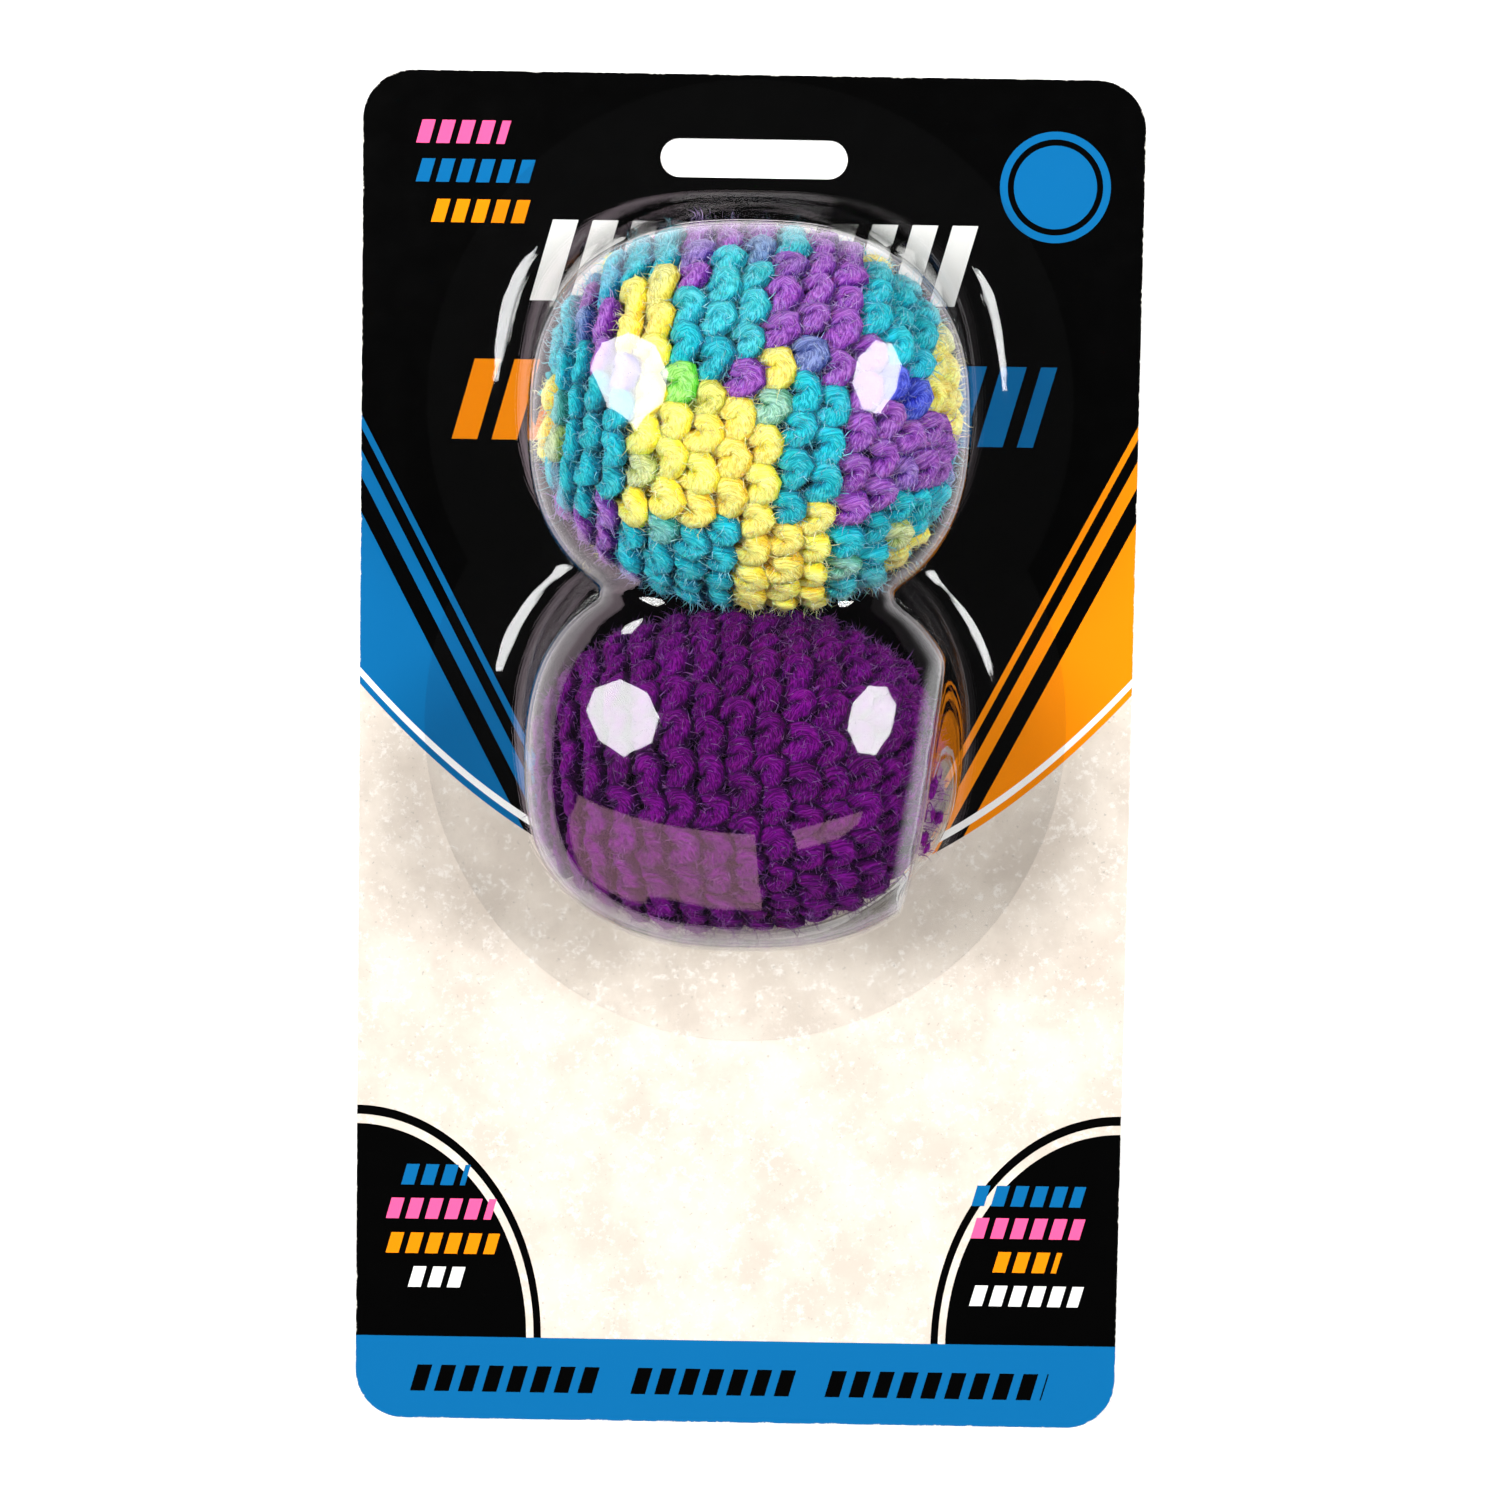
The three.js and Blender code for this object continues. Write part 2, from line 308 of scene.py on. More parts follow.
# %% White table
# A disc whose rim curls up, so that its edge never shows in a low view.
table_profile = [(0.4, 0), (1, 0), (1.6, 0), (1.9, 0.05), (2.2, 0.22), (2.4, 0.5), (2.5, 0.9)]
table_sides = 96
table_drop = 0.0001  # below the card, so that the two never share a plane
table_points = [Vector((0, 0, -table_drop))]
for radius, height in table_profile:
    table_points += [Vector((radius * math.cos(turn), radius * math.sin(turn), height - table_drop))
                     for turn in round_turns(table_sides)]
table_faces = fan(0, 1, table_sides)
for ring in range(len(table_profile) - 1):
    table_faces += band(1 + ring * table_sides, 1 + (ring + 1) * table_sides, table_sides)

table_white, tree, where = new_material("white laminate table")
# Painted reflection: seen by the camera or through the sheet, the table is evenly white. In the sheet's
# reflections it glows, pink and brighter to the left and towards the foot, and shows a painted dim grey to
# the right. This glow lights nothing.
path = add(tree, "ShaderNodeLightPath")
mirrored = path["Is Glossy Ray"]
apart = add(tree, "ShaderNodeSeparateXYZ", [where])
glow_across = add(tree, "ShaderNodeMapRange", [apart["X"], -500, 200, 1.7, 0.3], **smooth)[0]
glow_along = add(tree, "ShaderNodeMapRange", [apart["Y"], -500, -120, 1.2, 0], **smooth)[0]
mirrored_glow = glow_across + glow_along
seen_glow = most(path["Is Camera Ray"], path["Is Transmission Ray"]) * 0.18
matt = add(tree, "ShaderNodeBsdfDiffuse", {"Color": linear("#EFEFEF")})[0]
tint = add(tree, "ShaderNodeMix", {0: mirrored, 6: linear("#FFFFFF"), 7: linear("#FFE2F0")}, **colours)[2]
glow = add(tree, "ShaderNodeEmission", {"Color": tint, "Strength": mirrored * mirrored_glow + seen_glow})[0]
white_top = add(tree, "ShaderNodeAddShader", [matt, glow])[0]
# Painted dim reflection: the table's right side, as the sheet mirrors it.
painted_dim_reflection = add(tree, "ShaderNodeEmission", {"Color": linear("#FFFFFF"), "Strength": 0.06})[0]
darkened = add(tree, "ShaderNodeMapRange", [apart["X"], 50, 300, 0, 0.8], **smooth)[0] * mirrored
surface = add(tree, "ShaderNodeMixShader", [darkened, white_top, painted_dim_reflection])[0]
add(tree, "ShaderNodeOutputMaterial", [surface])
table = new_object("table", table_points, table_faces, table_white)

# %% Softboxes
# Each stands 1 m from the domes with its face to them. Its corners are given as tilts off the vertical
# in degrees, to the right and towards the slot, as the domes see them.
domes_seen = Vector((0, 0.026, 0.045))


def hang(name, points, strength, mirrored, colour="#FFFFFF", seen_within=None):
    """A lit face. One with a reach shows only in steep walls that near it, and lights nothing up."""
    cloth, tree, _ = new_material(name + " cloth")
    path = add(tree, "ShaderNodeLightPath")
    shown = path["Is Glossy Ray"] * (mirrored - strength) + strength
    surface = add(tree, "ShaderNodeEmission", {"Color": linear(colour), "Strength": shown})[0]
    if seen_within:
        leaving = add(tree, "ShaderNodeSeparateXYZ", [add(tree, "ShaderNodeNewGeometry")["Incoming"]])
        kept = (abs(leaving["Z"]) < 0.96) * (path["Ray Length"] < seen_within)
        nothing = add(tree, "ShaderNodeBsdfTransparent", {"Color": (1, 1, 1, 1)})[0]
        surface = add(tree, "ShaderNodeMixShader", [kept, nothing, surface])[0]
    add(tree, "ShaderNodeOutputMaterial", [surface])
    hung = new_object(name, points, [tuple(range(len(points)))], cloth)
    hung.visible_camera = False
    hung.visible_diffuse = hung.visible_shadow = seen_within is None


def eight_sided(right, up, width, length, turned):
    corners = [(right + width / 2 * math.cos(a), up + length / 2 * math.sin(a))
               for a in (turned + k * math.pi / 4 for k in range(8))]
    return [domes_seen + Vector((*(math.tan(math.radians(tilt)) for tilt in corner), 1)).normalized()
            for corner in corners]


hang("softbox_left", eight_sided(-32.5, 12, 21, 27, 0.05), 38, 16)
hang("softbox_right", eight_sided(34, 12, 14, 25, 0.25), 50, 16)

# %% Dim room, which the camera sees white
world = bpy.data.worlds.new("dim studio")
world.use_nodes = True
room_light = world.node_tree.nodes["Background"].inputs
room_light["Color"].default_value = (1, 1, 1, 1)
seen = add(world.node_tree, "ShaderNodeLightPath")["Is Camera Ray"] * 0.96 + 0.04
world.node_tree.links.new(seen.socket, room_light["Strength"])
scene.world = world
scene.view_settings.view_transform = "Standard"

# %% [markdown]
# ## Backing card
# The card is die-cut paperboard, printed in flat fields and varnished on the front and left bare
# behind, so its cut edge and its back show the board's own grey-white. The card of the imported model
# has the right shape and stays. The print is drawn in the card's own millimetres: a black top that
# narrows downwards between a blue and an orange field, a mottled grey foot, black lower corners and a
# blue band. Rows of plain slanted strokes stand where a maker would set words.

# %% Printed paperboard
printed_board, tree, where = new_material("offset-printed varnished paperboard")
apart = add(tree, "ShaderNodeSeparateXYZ", [where])
x, y = apart["X"], apart["Y"]
from_middle = abs(x)

black, blue, orange, pink = (linear(code) for code in ("#020202", "#0C649C", "#F0880A", "#FF5A93"))
white, silver = linear("#F2F1EE"), linear("#E4E2DE")

# Side fields, with two stripes of their own colour run along their edge.
into_field = from_middle - (y * 0.52 + 27.5)
field = most(between(into_field, 0, 0.9), between(into_field, 2.4, 4.2), into_field > 6.6)
side_colour = add(tree, "ShaderNodeMix", {0: x > 0, 6: blue, 7: orange}, **colours)[2]
ink = add(tree, "ShaderNodeMix", {0: field, 6: black, 7: side_colour}, **colours)[2]

# Mottled grey foot: its upper edge sags in the middle and is followed by one white line.
under = x * x * 0.011 - 19 - y
mottled = linear("#CEC2B5")
for scale, detail, roughness, low, high, least, full, colour in (
        (0.09, 6, 0.62, 0.34, 0.66, 0, 1, "#E0D5C8"), (0.8, 4, 0.7, 0.52, 0.68, 0, 0.5, "#F8F4EE"),
        (1.5, 3, 0.6, 0.27, 0.37, 0.6, 0, "#A8A096")):
    fleck = add(tree, "ShaderNodeTexNoise", {
        "Vector": where, "Scale": scale, "Detail": detail, "Roughness": roughness})["Fac"]
    share = add(tree, "ShaderNodeMapRange", [fleck, low, high, least, full], **smooth)[0]
    mottled = add(tree, "ShaderNodeMix", {0: share, 6: mottled, 7: linear(colour)}, **colours)[2]
ink = add(tree, "ShaderNodeMix", {0: under > 0, 6: ink, 7: mottled}, **colours)[2]
ink = add(tree, "ShaderNodeMix", {0: between(under, -2.2, -1.1), 6: ink, 7: white}, **colours)[2]

# Black lower corners with a thin black line round them, and the blue band under them.
band_top = -78.3
corner_far = far_off((card_half_width - from_middle) / 24.5, (y - band_top) / 31)
corner = most(corner_far < 0.93, between(corner_far, 0.97, 1.01))
ink = add(tree, "ShaderNodeMix", {0: corner * (y < -40), 6: ink, 7: black}, **colours)[2]
ink = add(tree, "ShaderNodeMix", {0: y < band_top, 6: ink, 7: blue}, **colours)[2]

# A plain disc in the upper right corner, with a ring round it.
disc_far = far_off(x - 39.2, y - 75.6)
disc = most(disc_far < 5.4, between(disc_far, 6.2, 7.2))
ink = add(tree, "ShaderNodeMix", {0: disc, 6: ink, 7: blue}, **colours)[2]

# Rows of slanted strokes: height, pitch and filled share, then each row's middle, left, right and colour.
stroke_rows = [
    (3, 2.6, 0.66, [(81.6, -43.5, -32, pink), (76.6, -43.5, -28.6, blue), (71.4, -41.5, -28.6, orange)]),
    (10.5, 5.2, 0.64, [(65.2, -27.5, 28.5, silver), (47, -37.5, -20.5, orange), (47, 20.8, 38.5, blue)]),
    (2.8, 2.6, 0.66, [(-56.3, -44.5, -36, blue), (-60.9, -46.5, -32.5, pink), (-65.6, -46.5, -32, orange),
                      (-70.2, -43.5, -36, white), (-58, 31.5, 46, blue), (-62.4, 31.5, 46, pink),
                      (-67, 34.5, 43, orange), (-71.6, 31.5, 46, white)]),
    (3.6, 3.2, 0.62, [(-84, -43, -18, black), (-84, -13.5, 8.5, black), (-84, 12.5, 41.5, black)]),
]
for height, pitch, filled, rows in stroke_rows:
    for middle, left, right, colour in rows:
        slanted = (y - middle) * -0.28 + x
        in_pitch = add(tree, "ShaderNodeMath", [(slanted - left) / pitch], operation="FRACT")[0]
        stroke = between(slanted, left, right) * (in_pitch < filled)
        stroke = stroke * between(y, middle - height / 2, middle + height / 2)
        ink = add(tree, "ShaderNodeMix", {0: stroke, 6: ink, 7: colour}, **colours)[2]

# The varnished front is rubbed white along its cut edge. The edge and the back are bare board.
edge_x = from_middle - (card_half_width - card_corner)
edge_y = abs(y) - (card_half_height - card_corner)
round_edge = far_off(most(edge_x, 0), most(edge_y, 0))
inside = add(tree, "ShaderNodeMath", [most(edge_x, edge_y), 0], operation="MINIMUM")[0]
to_edge = round_edge + inside - card_corner
rub = add(tree, "ShaderNodeTexNoise", {"Vector": where, "Scale": 0.7, "Detail": 4, "Roughness": 0.7})["Fac"]
worn = add(tree, "ShaderNodeMapRange", [to_edge + (rub * 0.9 - 0.40), -0.02, 0.12], **smooth)[0]
pulp = add(tree, "ShaderNodeTexNoise", {"Vector": where, "Scale": 1.2, "Detail": 5})["Fac"]
bare_board = add(tree, "ShaderNodeMix", {0: pulp, 6: linear("#D9D5CC"), 7: linear("#EFECE4")}, **colours)[2]
ink = add(tree, "ShaderNodeMix", {0: worn * 0.85, 6: ink, 7: bare_board}, **colours)[2]
facing = add(tree, "ShaderNodeSeparateXYZ", [add(tree, "ShaderNodeNewGeometry")["Normal"]])
front = facing["Z"] > 0.5
uneven = add(tree, "ShaderNodeTexNoise", {"Vector": where, "Scale": 0.25, "Detail": 3})["Fac"]
roughness = add(tree, "ShaderNodeMapRange", [front - worn, 0, 1, 0.8, uneven * 0.08 + 0.10])[0]
waves = add(tree, "ShaderNodeTexNoise", {"Vector": where, "Scale": 0.05, "Detail": 1})["Fac"]
grain = add(tree, "ShaderNodeTexNoise", {
    "Vector": where, "Scale": 2.2, "Detail": 4, "Roughness": 0.6})["Fac"]
relief = add(tree, "ShaderNodeBump", {
    "Height": waves * 60 + grain, "Strength": 0.25, "Distance": 0.00001})[0]
shown = add(tree, "ShaderNodeMix", {0: front, 6: bare_board, 7: ink}, **colours)[2]
board = add(tree, "ShaderNodeBsdfPrincipled", {
    "Base Color": shown, "Roughness": roughness, "Specular IOR Level": 0.25, "Normal": relief})[0]
add(tree, "ShaderNodeOutputMaterial", [board])

card = bpy.data.objects["backing_card"]
card.data.materials.clear()
card.data.materials.append(printed_board)
print("card faces:", len(card.data.polygons))

# %% [markdown]
# ## Blister
# A thermoformed sheet is one skin everywhere: heated, drawn over a mould and die-cut. One dome is laid
# out as rings from its flange to the middle of its roof, cut at the valley and mirrored, which is how
# the mould is symmetrical. The mould's valley is rounded, so the skin is eased outwards there. The
# skin then gets its 0.4 mm, and the hang slot is punched.


# %% Rings of one dome
def eased_step(value, low, high):
    share = min(max((value - low) / (high - low), 0), 1)
    return share * share * (3 - 2 * share)


def squareness(rise, turn):
    """How square the outline is: more so in the fillet's foot, at the end away from the valley."""
    plain = base_squareness + (shoulder_squareness - base_squareness) * min(rise / shoulder_rise, 1)
    in_foot = 1 - eased_step(rise, 0, foot_height)
    return plain + foot_squareness * in_foot * eased_step(math.sin(turn), 0, 0.5)


def outline(half_width, half_length, square, turn):
    return Vector((half_width * power(math.cos(turn), 2 / square),
                   half_length * power(math.sin(turn), 2 / square)))


def dome_rings(sides):
    """Rings of points from the flange's rim up to just short of the roof's middle."""
    turns = round_turns(sides)
    bases = [outline(base_half_width, base_half_length, squareness(0.0, turn), turn) for turn in turns]
    rims = [Vector((math.cos(turn), math.sin(turn))) * flange_radius for turn in turns]
    rings = [[(*rim.lerp(base, share), 0.0) for rim, base in zip(rims, bases)]
             for share in (0.0, 0.02, 0.35, 0.7, 0.97)]
    section = []
    for step in range(13):
        a = step / 12 * math.pi / 2
        section.append((side_fillet_run * math.sin(a), end_fillet_run * math.sin(a),
                        fillet_rise * (1 - math.cos(a))))
    for step in range(1, 12):
        share = step / 12
        section.append((side_fillet_run + side_draft * share, end_fillet_run + end_draft * share,
                        fillet_rise + (shoulder_rise - fillet_rise) * share))
    for step in range(19):
        a = step / 18 * shoulder_turn
        inset = shoulder_radius * (1 - math.cos(a))
        section.append((side_fillet_run + side_draft + inset, end_fillet_run + end_draft + inset,
                        shoulder_rise + shoulder_radius * math.sin(a)))
    for side_inset, end_inset, rise in section:
        half_width, half_length = base_half_width - side_inset, base_half_length - end_inset
        rings.append([(*outline(half_width, half_length, squareness(rise, turn), turn), rise)
                      for turn in turns])
    crown = dome_rise - rise
    for step in range(1, 24):
        share = 1 - step / 24
        rings.append([(*outline(half_width * share, half_length * share, shoulder_squareness, turn),
                       dome_rise - crown * share * share) for turn in turns])
    return rings


# %% One half of the skin, cut at the valley
skin_sides = 224
rings = dome_rings(skin_sides)
points = [Vector((px, py + dome_middles[0], pz)) for ring in rings for px, py, pz in ring]
points.append(Vector((0, dome_middles[0], dome_rise)))
faces = []
for ring in range(len(rings) - 1):
    faces += band(ring * skin_sides, (ring + 1) * skin_sides, skin_sides)
faces += fan(len(points) - 1, (len(rings) - 1) * skin_sides, skin_sides)

skin = bmesh.new()
corners = [skin.verts.new(p) for p in points]
for face in faces:
    skin.faces.new([corners[k] for k in face])
bmesh.ops.bisect_plane(skin, geom=skin.verts[:] + skin.edges[:] + skin.faces[:], dist=1e-5,
                       plane_co=(0, valley_middle, 0), plane_no=(0, -1, 0), clear_outer=True)
skin.normal_update()

# %% Round the valley and mirror the half
# A point near the valley moves in the valley's own plane, so that the skin crosses it level.
valley_reach, steepest = 3.4, 2.5
eased = {}
for corner in skin.verts:
    off = corner.co.y - valley_middle
    flat = Vector((corner.normal.x, 0, corner.normal.z))
    if flat.length < 1e-3:
        continue
    steepness = min(abs(corner.normal.y) / flat.length, steepest)
    reach = valley_reach / (1 + steepness)
    if off < reach and steepness > 0.02:
        eased[corner] = flat.normalized() * steepness * reach / 2 * (1 - off / reach) ** 2
for corner, step in eased.items():
    corner.co += step
other = bmesh.ops.duplicate(skin, geom=skin.verts[:] + skin.edges[:] + skin.faces[:])["geom"]
for part in other:
    if isinstance(part, bmesh.types.BMVert):
        part.co.y = 2 * valley_middle - part.co.y
seam = [corner for corner in skin.verts if abs(corner.co.y - valley_middle) < 1e-3]
bmesh.ops.remove_doubles(skin, verts=seam, dist=2e-3)
bmesh.ops.recalc_face_normals(skin, faces=skin.faces)

# %% Press the lower dome
# It has been handled: its roof has sunk towards the valley, its foot leans in a little, and its right
# shoulder is pressed flat along a line, which leaves a crease from its upper corner to its foot.
press_slope = 0.15  # how far the line runs outwards for each millimetre towards the slot
for corner in skin.verts:
    into_lower = eased_step(valley_middle - corner.co.y, 0, 6)
    pressed = 24.3 + (corner.co.y - 17.8) * press_slope
    corner.co.x -= max(corner.co.x - pressed, 0) * 0.85 * into_lower * eased_step(corner.co.z, 16, 38)
    corner.co.z -= 0.055 * (corner.co.y - dome_middles[1]) * into_lower * eased_step(corner.co.z, 20, 42)
    corner.co.y += 1.1 * eased_step(-corner.co.y, 0, 20) * eased_step(corner.co.z, 1, 20)
    corner.co = Vector((corner.co.x, corner.co.y, corner.co.z + sheet_foot)) * MM
for face in skin.faces:
    face.smooth = True
skin_mesh = bpy.data.meshes.new("blister_sheet")
skin.to_mesh(skin_mesh)
skin.free()
print("skin faces:", len(skin_mesh.polygons))
blister = show("blister_sheet", skin_mesh)
roof = max(skin_mesh.polygons, key=lambda face: face.center.z)
outward = roof.normal.z > 0

# %% Give the sheet its thickness and punch the hang slot
def settle(piece):
    """Turns a piece's modifiers into plain mesh."""
    settled = bpy.data.meshes.new_from_object(piece.evaluated_get(bpy.context.evaluated_depsgraph_get()))
    settled.name = piece.name
    piece.modifiers.clear()
    piece.data = settled
    return piece


def mark_sharp(mesh, degrees):
    """Keeps edges that turn by more than this crisp under smooth shading."""
    work = bmesh.new()
    work.from_mesh(mesh)
    for edge in work.edges:
        edge.smooth = len(edge.link_faces) != 2 or edge.calc_face_angle(0.0) < math.radians(degrees)
    work.to_mesh(mesh)
    work.free()


thicken = blister.modifiers.new("sheet", "SOLIDIFY")
thicken.thickness = sheet_thickness * MM
thicken.offset = 1.0 if outward else -1.0
punch_points = []
for height in (-2.0, 4.0):
    for end, first in ((1, -math.pi / 2), (-1, math.pi / 2)):
        for a in (first + step / 16 * math.pi for step in range(17)):
            across = end * (slot_half_width - slot_half_height) + slot_half_height * math.cos(a)
            punch_points.append(Vector((across, slot_middle + slot_half_height * math.sin(a), height)) * MM)
around = len(punch_points) // 2
punch_faces = [tuple(range(around)), tuple(range(around, 2 * around)), *band(0, around, around)]
punch = new_object("slot_punch", punch_points, punch_faces)
cut = blister.modifiers.new("slot", "BOOLEAN")
cut.operation = "DIFFERENCE"
cut.solver = "EXACT"
cut.object = punch
settle(blister)
bpy.data.objects.remove(punch)
mark_sharp(blister.data, 40)
print("blister faces:", len(blister.data.polygons))

# %% Clear vacuum-formed sheet
# Light leaves a thin clear sheet in the direction it came, so the sheet is see-through with a gloss that
# grows towards grazing. Fresnel's index is turned over on inward faces, where it would otherwise mirror.
# The skin is drawn unevenly, and takes the cutter's marks from the mould in the fillets round the domes.
# The pressed shoulder's crease is whitened, as strained plastic is.
clear_index = 1.36
clear_sheet, tree, where = new_material("clear vacuum-formed sheet")
apart = add(tree, "ShaderNodeSeparateXYZ", [where])
x, y, height = apart["X"], apart["Y"], apart["Z"]
inward = add(tree, "ShaderNodeNewGeometry")["Backfacing"]
index = add(tree, "ShaderNodeMapRange", [inward, 0, 1, clear_index, 1 / clear_index])[0]
drawn = add(tree, "ShaderNodeTexNoise", {"Vector": where, "Scale": 0.16})["Fac"]
drawn = drawn * add(tree, "ShaderNodeMapRange", [height, 1, 6, 0.14, 0.05], **smooth)[0]
above_foot = add(tree, "ShaderNodeMapRange", [height, 1.3, 1.6], **smooth)[0]
under_wall = add(tree, "ShaderNodeMapRange", [height, 2.2, 3.4, 1, 0], **smooth)[0]
milled = add(tree, "ShaderNodeMath", [height * 22], operation="SINE")[0] * (above_foot * under_wall)
sagged = add(tree, "ShaderNodeTexNoise", {
    "Vector": where, "Scale": 0.035, "Detail": 1, "Roughness": 0.4})["Fac"]
ripple = add(tree, "ShaderNodeBump", {
    "Height": milled * 0.012 + (drawn * 0.9 + sagged), "Strength": 0.5, "Distance": 0.001})[0]
share = add(tree, "ShaderNodeFresnel", {"IOR": index, "Normal": ripple})[0]
through = add(tree, "ShaderNodeBsdfTransparent", {"Color": (0.975, 0.978, 0.98, 1)})[0]
gloss = add(tree, "ShaderNodeBsdfAnisotropic", {
    "Color": (1, 1, 1, 1), "Roughness": 0.03, "Normal": ripple})[0]
uneven = add(tree, "ShaderNodeTexNoise", {"Vector": where, "Scale": 0.3})["Fac"]
to_crease = uneven * 0.5 + (x - (y * press_slope + 21.7))
folded = add(tree, "ShaderNodeMapRange", [abs(to_crease), 0.05, 0.25, 0.06, 0], **smooth)[0]
strained = add(tree, "ShaderNodeMapRange", [to_crease, -2.2, -0.6, 0, 0.09], **smooth)[0]
strained = strained * add(tree, "ShaderNodeMapRange", [to_crease, 0, 0.3, 1, 0], **smooth)[0]
high_up = add(tree, "ShaderNodeMapRange", [height, 30, 37], **smooth)[0]
halfway = add(tree, "ShaderNodeMapRange", [abs(y - 2), 14, 17.5, 1, 0], **smooth)[0]
creased = (folded + strained) * high_up * halfway
whitened = add(tree, "ShaderNodeBsdfDiffuse", {"Color": (0.9, 0.9, 0.9, 1)})[0]
clear = add(tree, "ShaderNodeMixShader", [share, through, gloss])[0]
surface = add(tree, "ShaderNodeMixShader", [creased, clear, whitened])[0]
add(tree, "ShaderNodeOutputMaterial", [surface])
blister.data.materials.clear()
blister.data.materials.append(clear_sheet)
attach(blister, "root")
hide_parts("blister_shell")

# %% Glowing boards close to the lower dome, for painted reflections
# They glow, light nothing and are seen only from the sheet close by, so they show in the dome's foot
# as pale veils with sharp edges: painted reflections. Each corner is hung where the sheet
# mirrors it to the camera, at a place given in thousandths of the picture's width and height.
sheet_seen = BVHTree.FromObject(blister, bpy.context.evaluated_depsgraph_get())


def mirrored_at(right, down, distance):
    across, along = ((part * camera_data.sensor_width) for part in (right / 1000 - 0.5, 0.5 - down / 1000))
    ray = camera.rotation_euler.to_matrix() @ Vector((across, along, -camera_data.lens)).normalized()
    place, facing, _, _ = sheet_seen.ray_cast(camera.location, ray)
    return place + (ray - 2 * ray.dot(facing) * facing).normalized() * distance


for name, corners in (
    ("board_left", [(385, 529), (412, 540), (448, 551), (490, 557), (503, 557), (508, 608), (480, 607),
                    (440, 600), (389, 583)]),
    ("board_right", [(528, 553), (552, 548), (574, 540), (571, 549), (558, 559), (532, 566)]),
):
    points = [mirrored_at(right, down, 0.035) for right, down in corners]
    # Painted reflection: each board glows pink, lights nothing and is seen only from the sheet close by.
    hang(name, points, 3.0, 3.0, colour="#FFBCD4", seen_within=0.05)

# %% [markdown]
# ## Crocheted covers
# A footbag's cover is worked in one spiral of single crochet, from a closed ring at one pole to a small
# hole at the other, where the yarn's end is drawn through. On the outside each stitch shows as a
# plump loop: its round tip stands proud and points back to the first rounds, and its two legs sink
# under the tips of the next round, more or less drawn together. So one loop is modelled well, in a few
# variants, and set along the spiral by a Geometry Nodes tree, each with its own turn, size and colour.

# %% One loop
stitch_width = 5.25
round_height = 4.1
stitch_skew = 0.28  # the tip stands a little to one side of the legs' ends
open_legs = [  # half a loop: across the stitch, back towards the first rounds, and out of the bag
    (2.35, -2.9, -3.1), (2.20, -2.1, -2.2), (1.88, -1.2, -1.15), (1.52, -0.4, -0.2),
    (1.22, 0.4, 0.5), (0.82, 1.1, 0.95), (0.0, 1.42, 1.1),
]
drawn_legs = [
    (0.60, -3.2, -2.2), (0.95, -2.3, -1.6), (1.30, -1.4, -0.9), (1.42, -0.5, -0.1),
    (1.22, 0.4, 0.6), (0.80, 1.1, 1.1), (0.0, 1.45, 1.3),
]
drawn_together = [0.0, 0.25, 0.55, 0.1, 0.8, 0.35]  # one variant each
loop_radii = [0.80, 1.05, 1.30, 1.50, 1.58, 1.54, 1.48]


def mixed(first, second, share):
    """Places or colours part of the way between two."""
    return tuple(a + (b - a) * share for a, b in zip(first, second))


def tube(name, spine, radii, sides, flatness=1.0, group=None):
    """A closed tube along a spine in millimetres. Its UVs' u runs round it and v along it."""
    points, faces, uvs = [], [], []
    spine, count = [Vector(p) for p in spine], len(spine)
    for k, here in enumerate(spine):
        ahead = (spine[min(k + 1, count - 1)] - spine[max(k - 1, 0)]).normalized()
        out = (Vector((0, 0, 1)) - ahead * ahead.z).normalized()
        across = ahead.cross(out)
        points += [here - (out * math.cos(a) * flatness + across * math.sin(a)) * radii[k]
                   for a in round_turns(sides)]
    points += [spine[0] - (spine[1] - spine[0]).normalized() * radii[0] * 0.6,
               spine[-1] + (spine[-1] - spine[-2]).normalized() * radii[-1] * 0.6]
    for k in range(count - 1):
        faces += band(k * sides, (k + 1) * sides, sides)
        for side in range(sides):
            u0, u1, v0, v1 = side / sides, (side + 1) / sides, k / (count - 1), (k + 1) / (count - 1)
            uvs += [(u0, v0), (u1, v0), (u1, v1), (u0, v1)]
    low, high, last = count * sides, count * sides + 1, (count - 1) * sides
    for side in range(sides):
        after = (side + 1) % sides
        faces += [(low, after, side), (high, last + side, last + after)]
        u0, u1 = side / sides, (side + 1) / sides
        uvs += [((u0 + u1) / 2, -0.1), (u1, 0), (u0, 0), ((u0 + u1) / 2, 1.1), (u0, 1), (u1, 1)]
    mesh = bpy.data.meshes.new(name)
    mesh.from_pydata([tuple(p * MM) for p in points], [], faces)
    layer = mesh.uv_layers.new(name="yarn")
    for k, uv in enumerate(uvs):
        layer.data[k].uv = uv
    for face in mesh.polygons:
        face.use_smooth = True
    return show(name, mesh, group)


loops = new_group("yarn loops")
shaper = random.Random(11)
for variant, drawn_in in enumerate(drawn_together):
    lean = shaper.uniform(-0.25, 0.25)
    loop_spine = [mixed(wide, drawn, drawn_in) for wide, drawn in zip(open_legs, drawn_legs)]
    whole_loop = loop_spine + [(-px, py, pz) for px, py, pz in reversed(loop_spine[:-1])]
    spine = [(px - stitch_skew * py + shaper.uniform(-0.1, 0.1),
              py + lean * px * 0.5 + shaper.uniform(-0.08, 0.08),
              pz + lean * px * 0.6 + shaper.uniform(-0.08, 0.08)) for px, py, pz in whole_loop]
    radii = [r * shaper.uniform(0.94, 1.05) for r in loop_radii + loop_radii[-2::-1]]
    loop = tube("loop_" + str(variant), spine, radii, 8, flatness=0.9, group=loops)
print("faces in one loop:", len(loop.data.polygons))


# %% Trees that set pieces
def new_tree(name, inputs, output):
    """A Geometry Nodes tree with named inputs, and what its inputs give."""
    tree = bpy.data.node_groups.new(name, "GeometryNodeTree")
    for label, kind in inputs.items():
        tree.interface.new_socket(label, in_out="INPUT", socket_type="NodeSocket" + kind)
    tree.interface.new_socket(output, in_out="OUTPUT", socket_type="NodeSocketGeometry")
    return tree, add(tree, "NodeGroupInput")


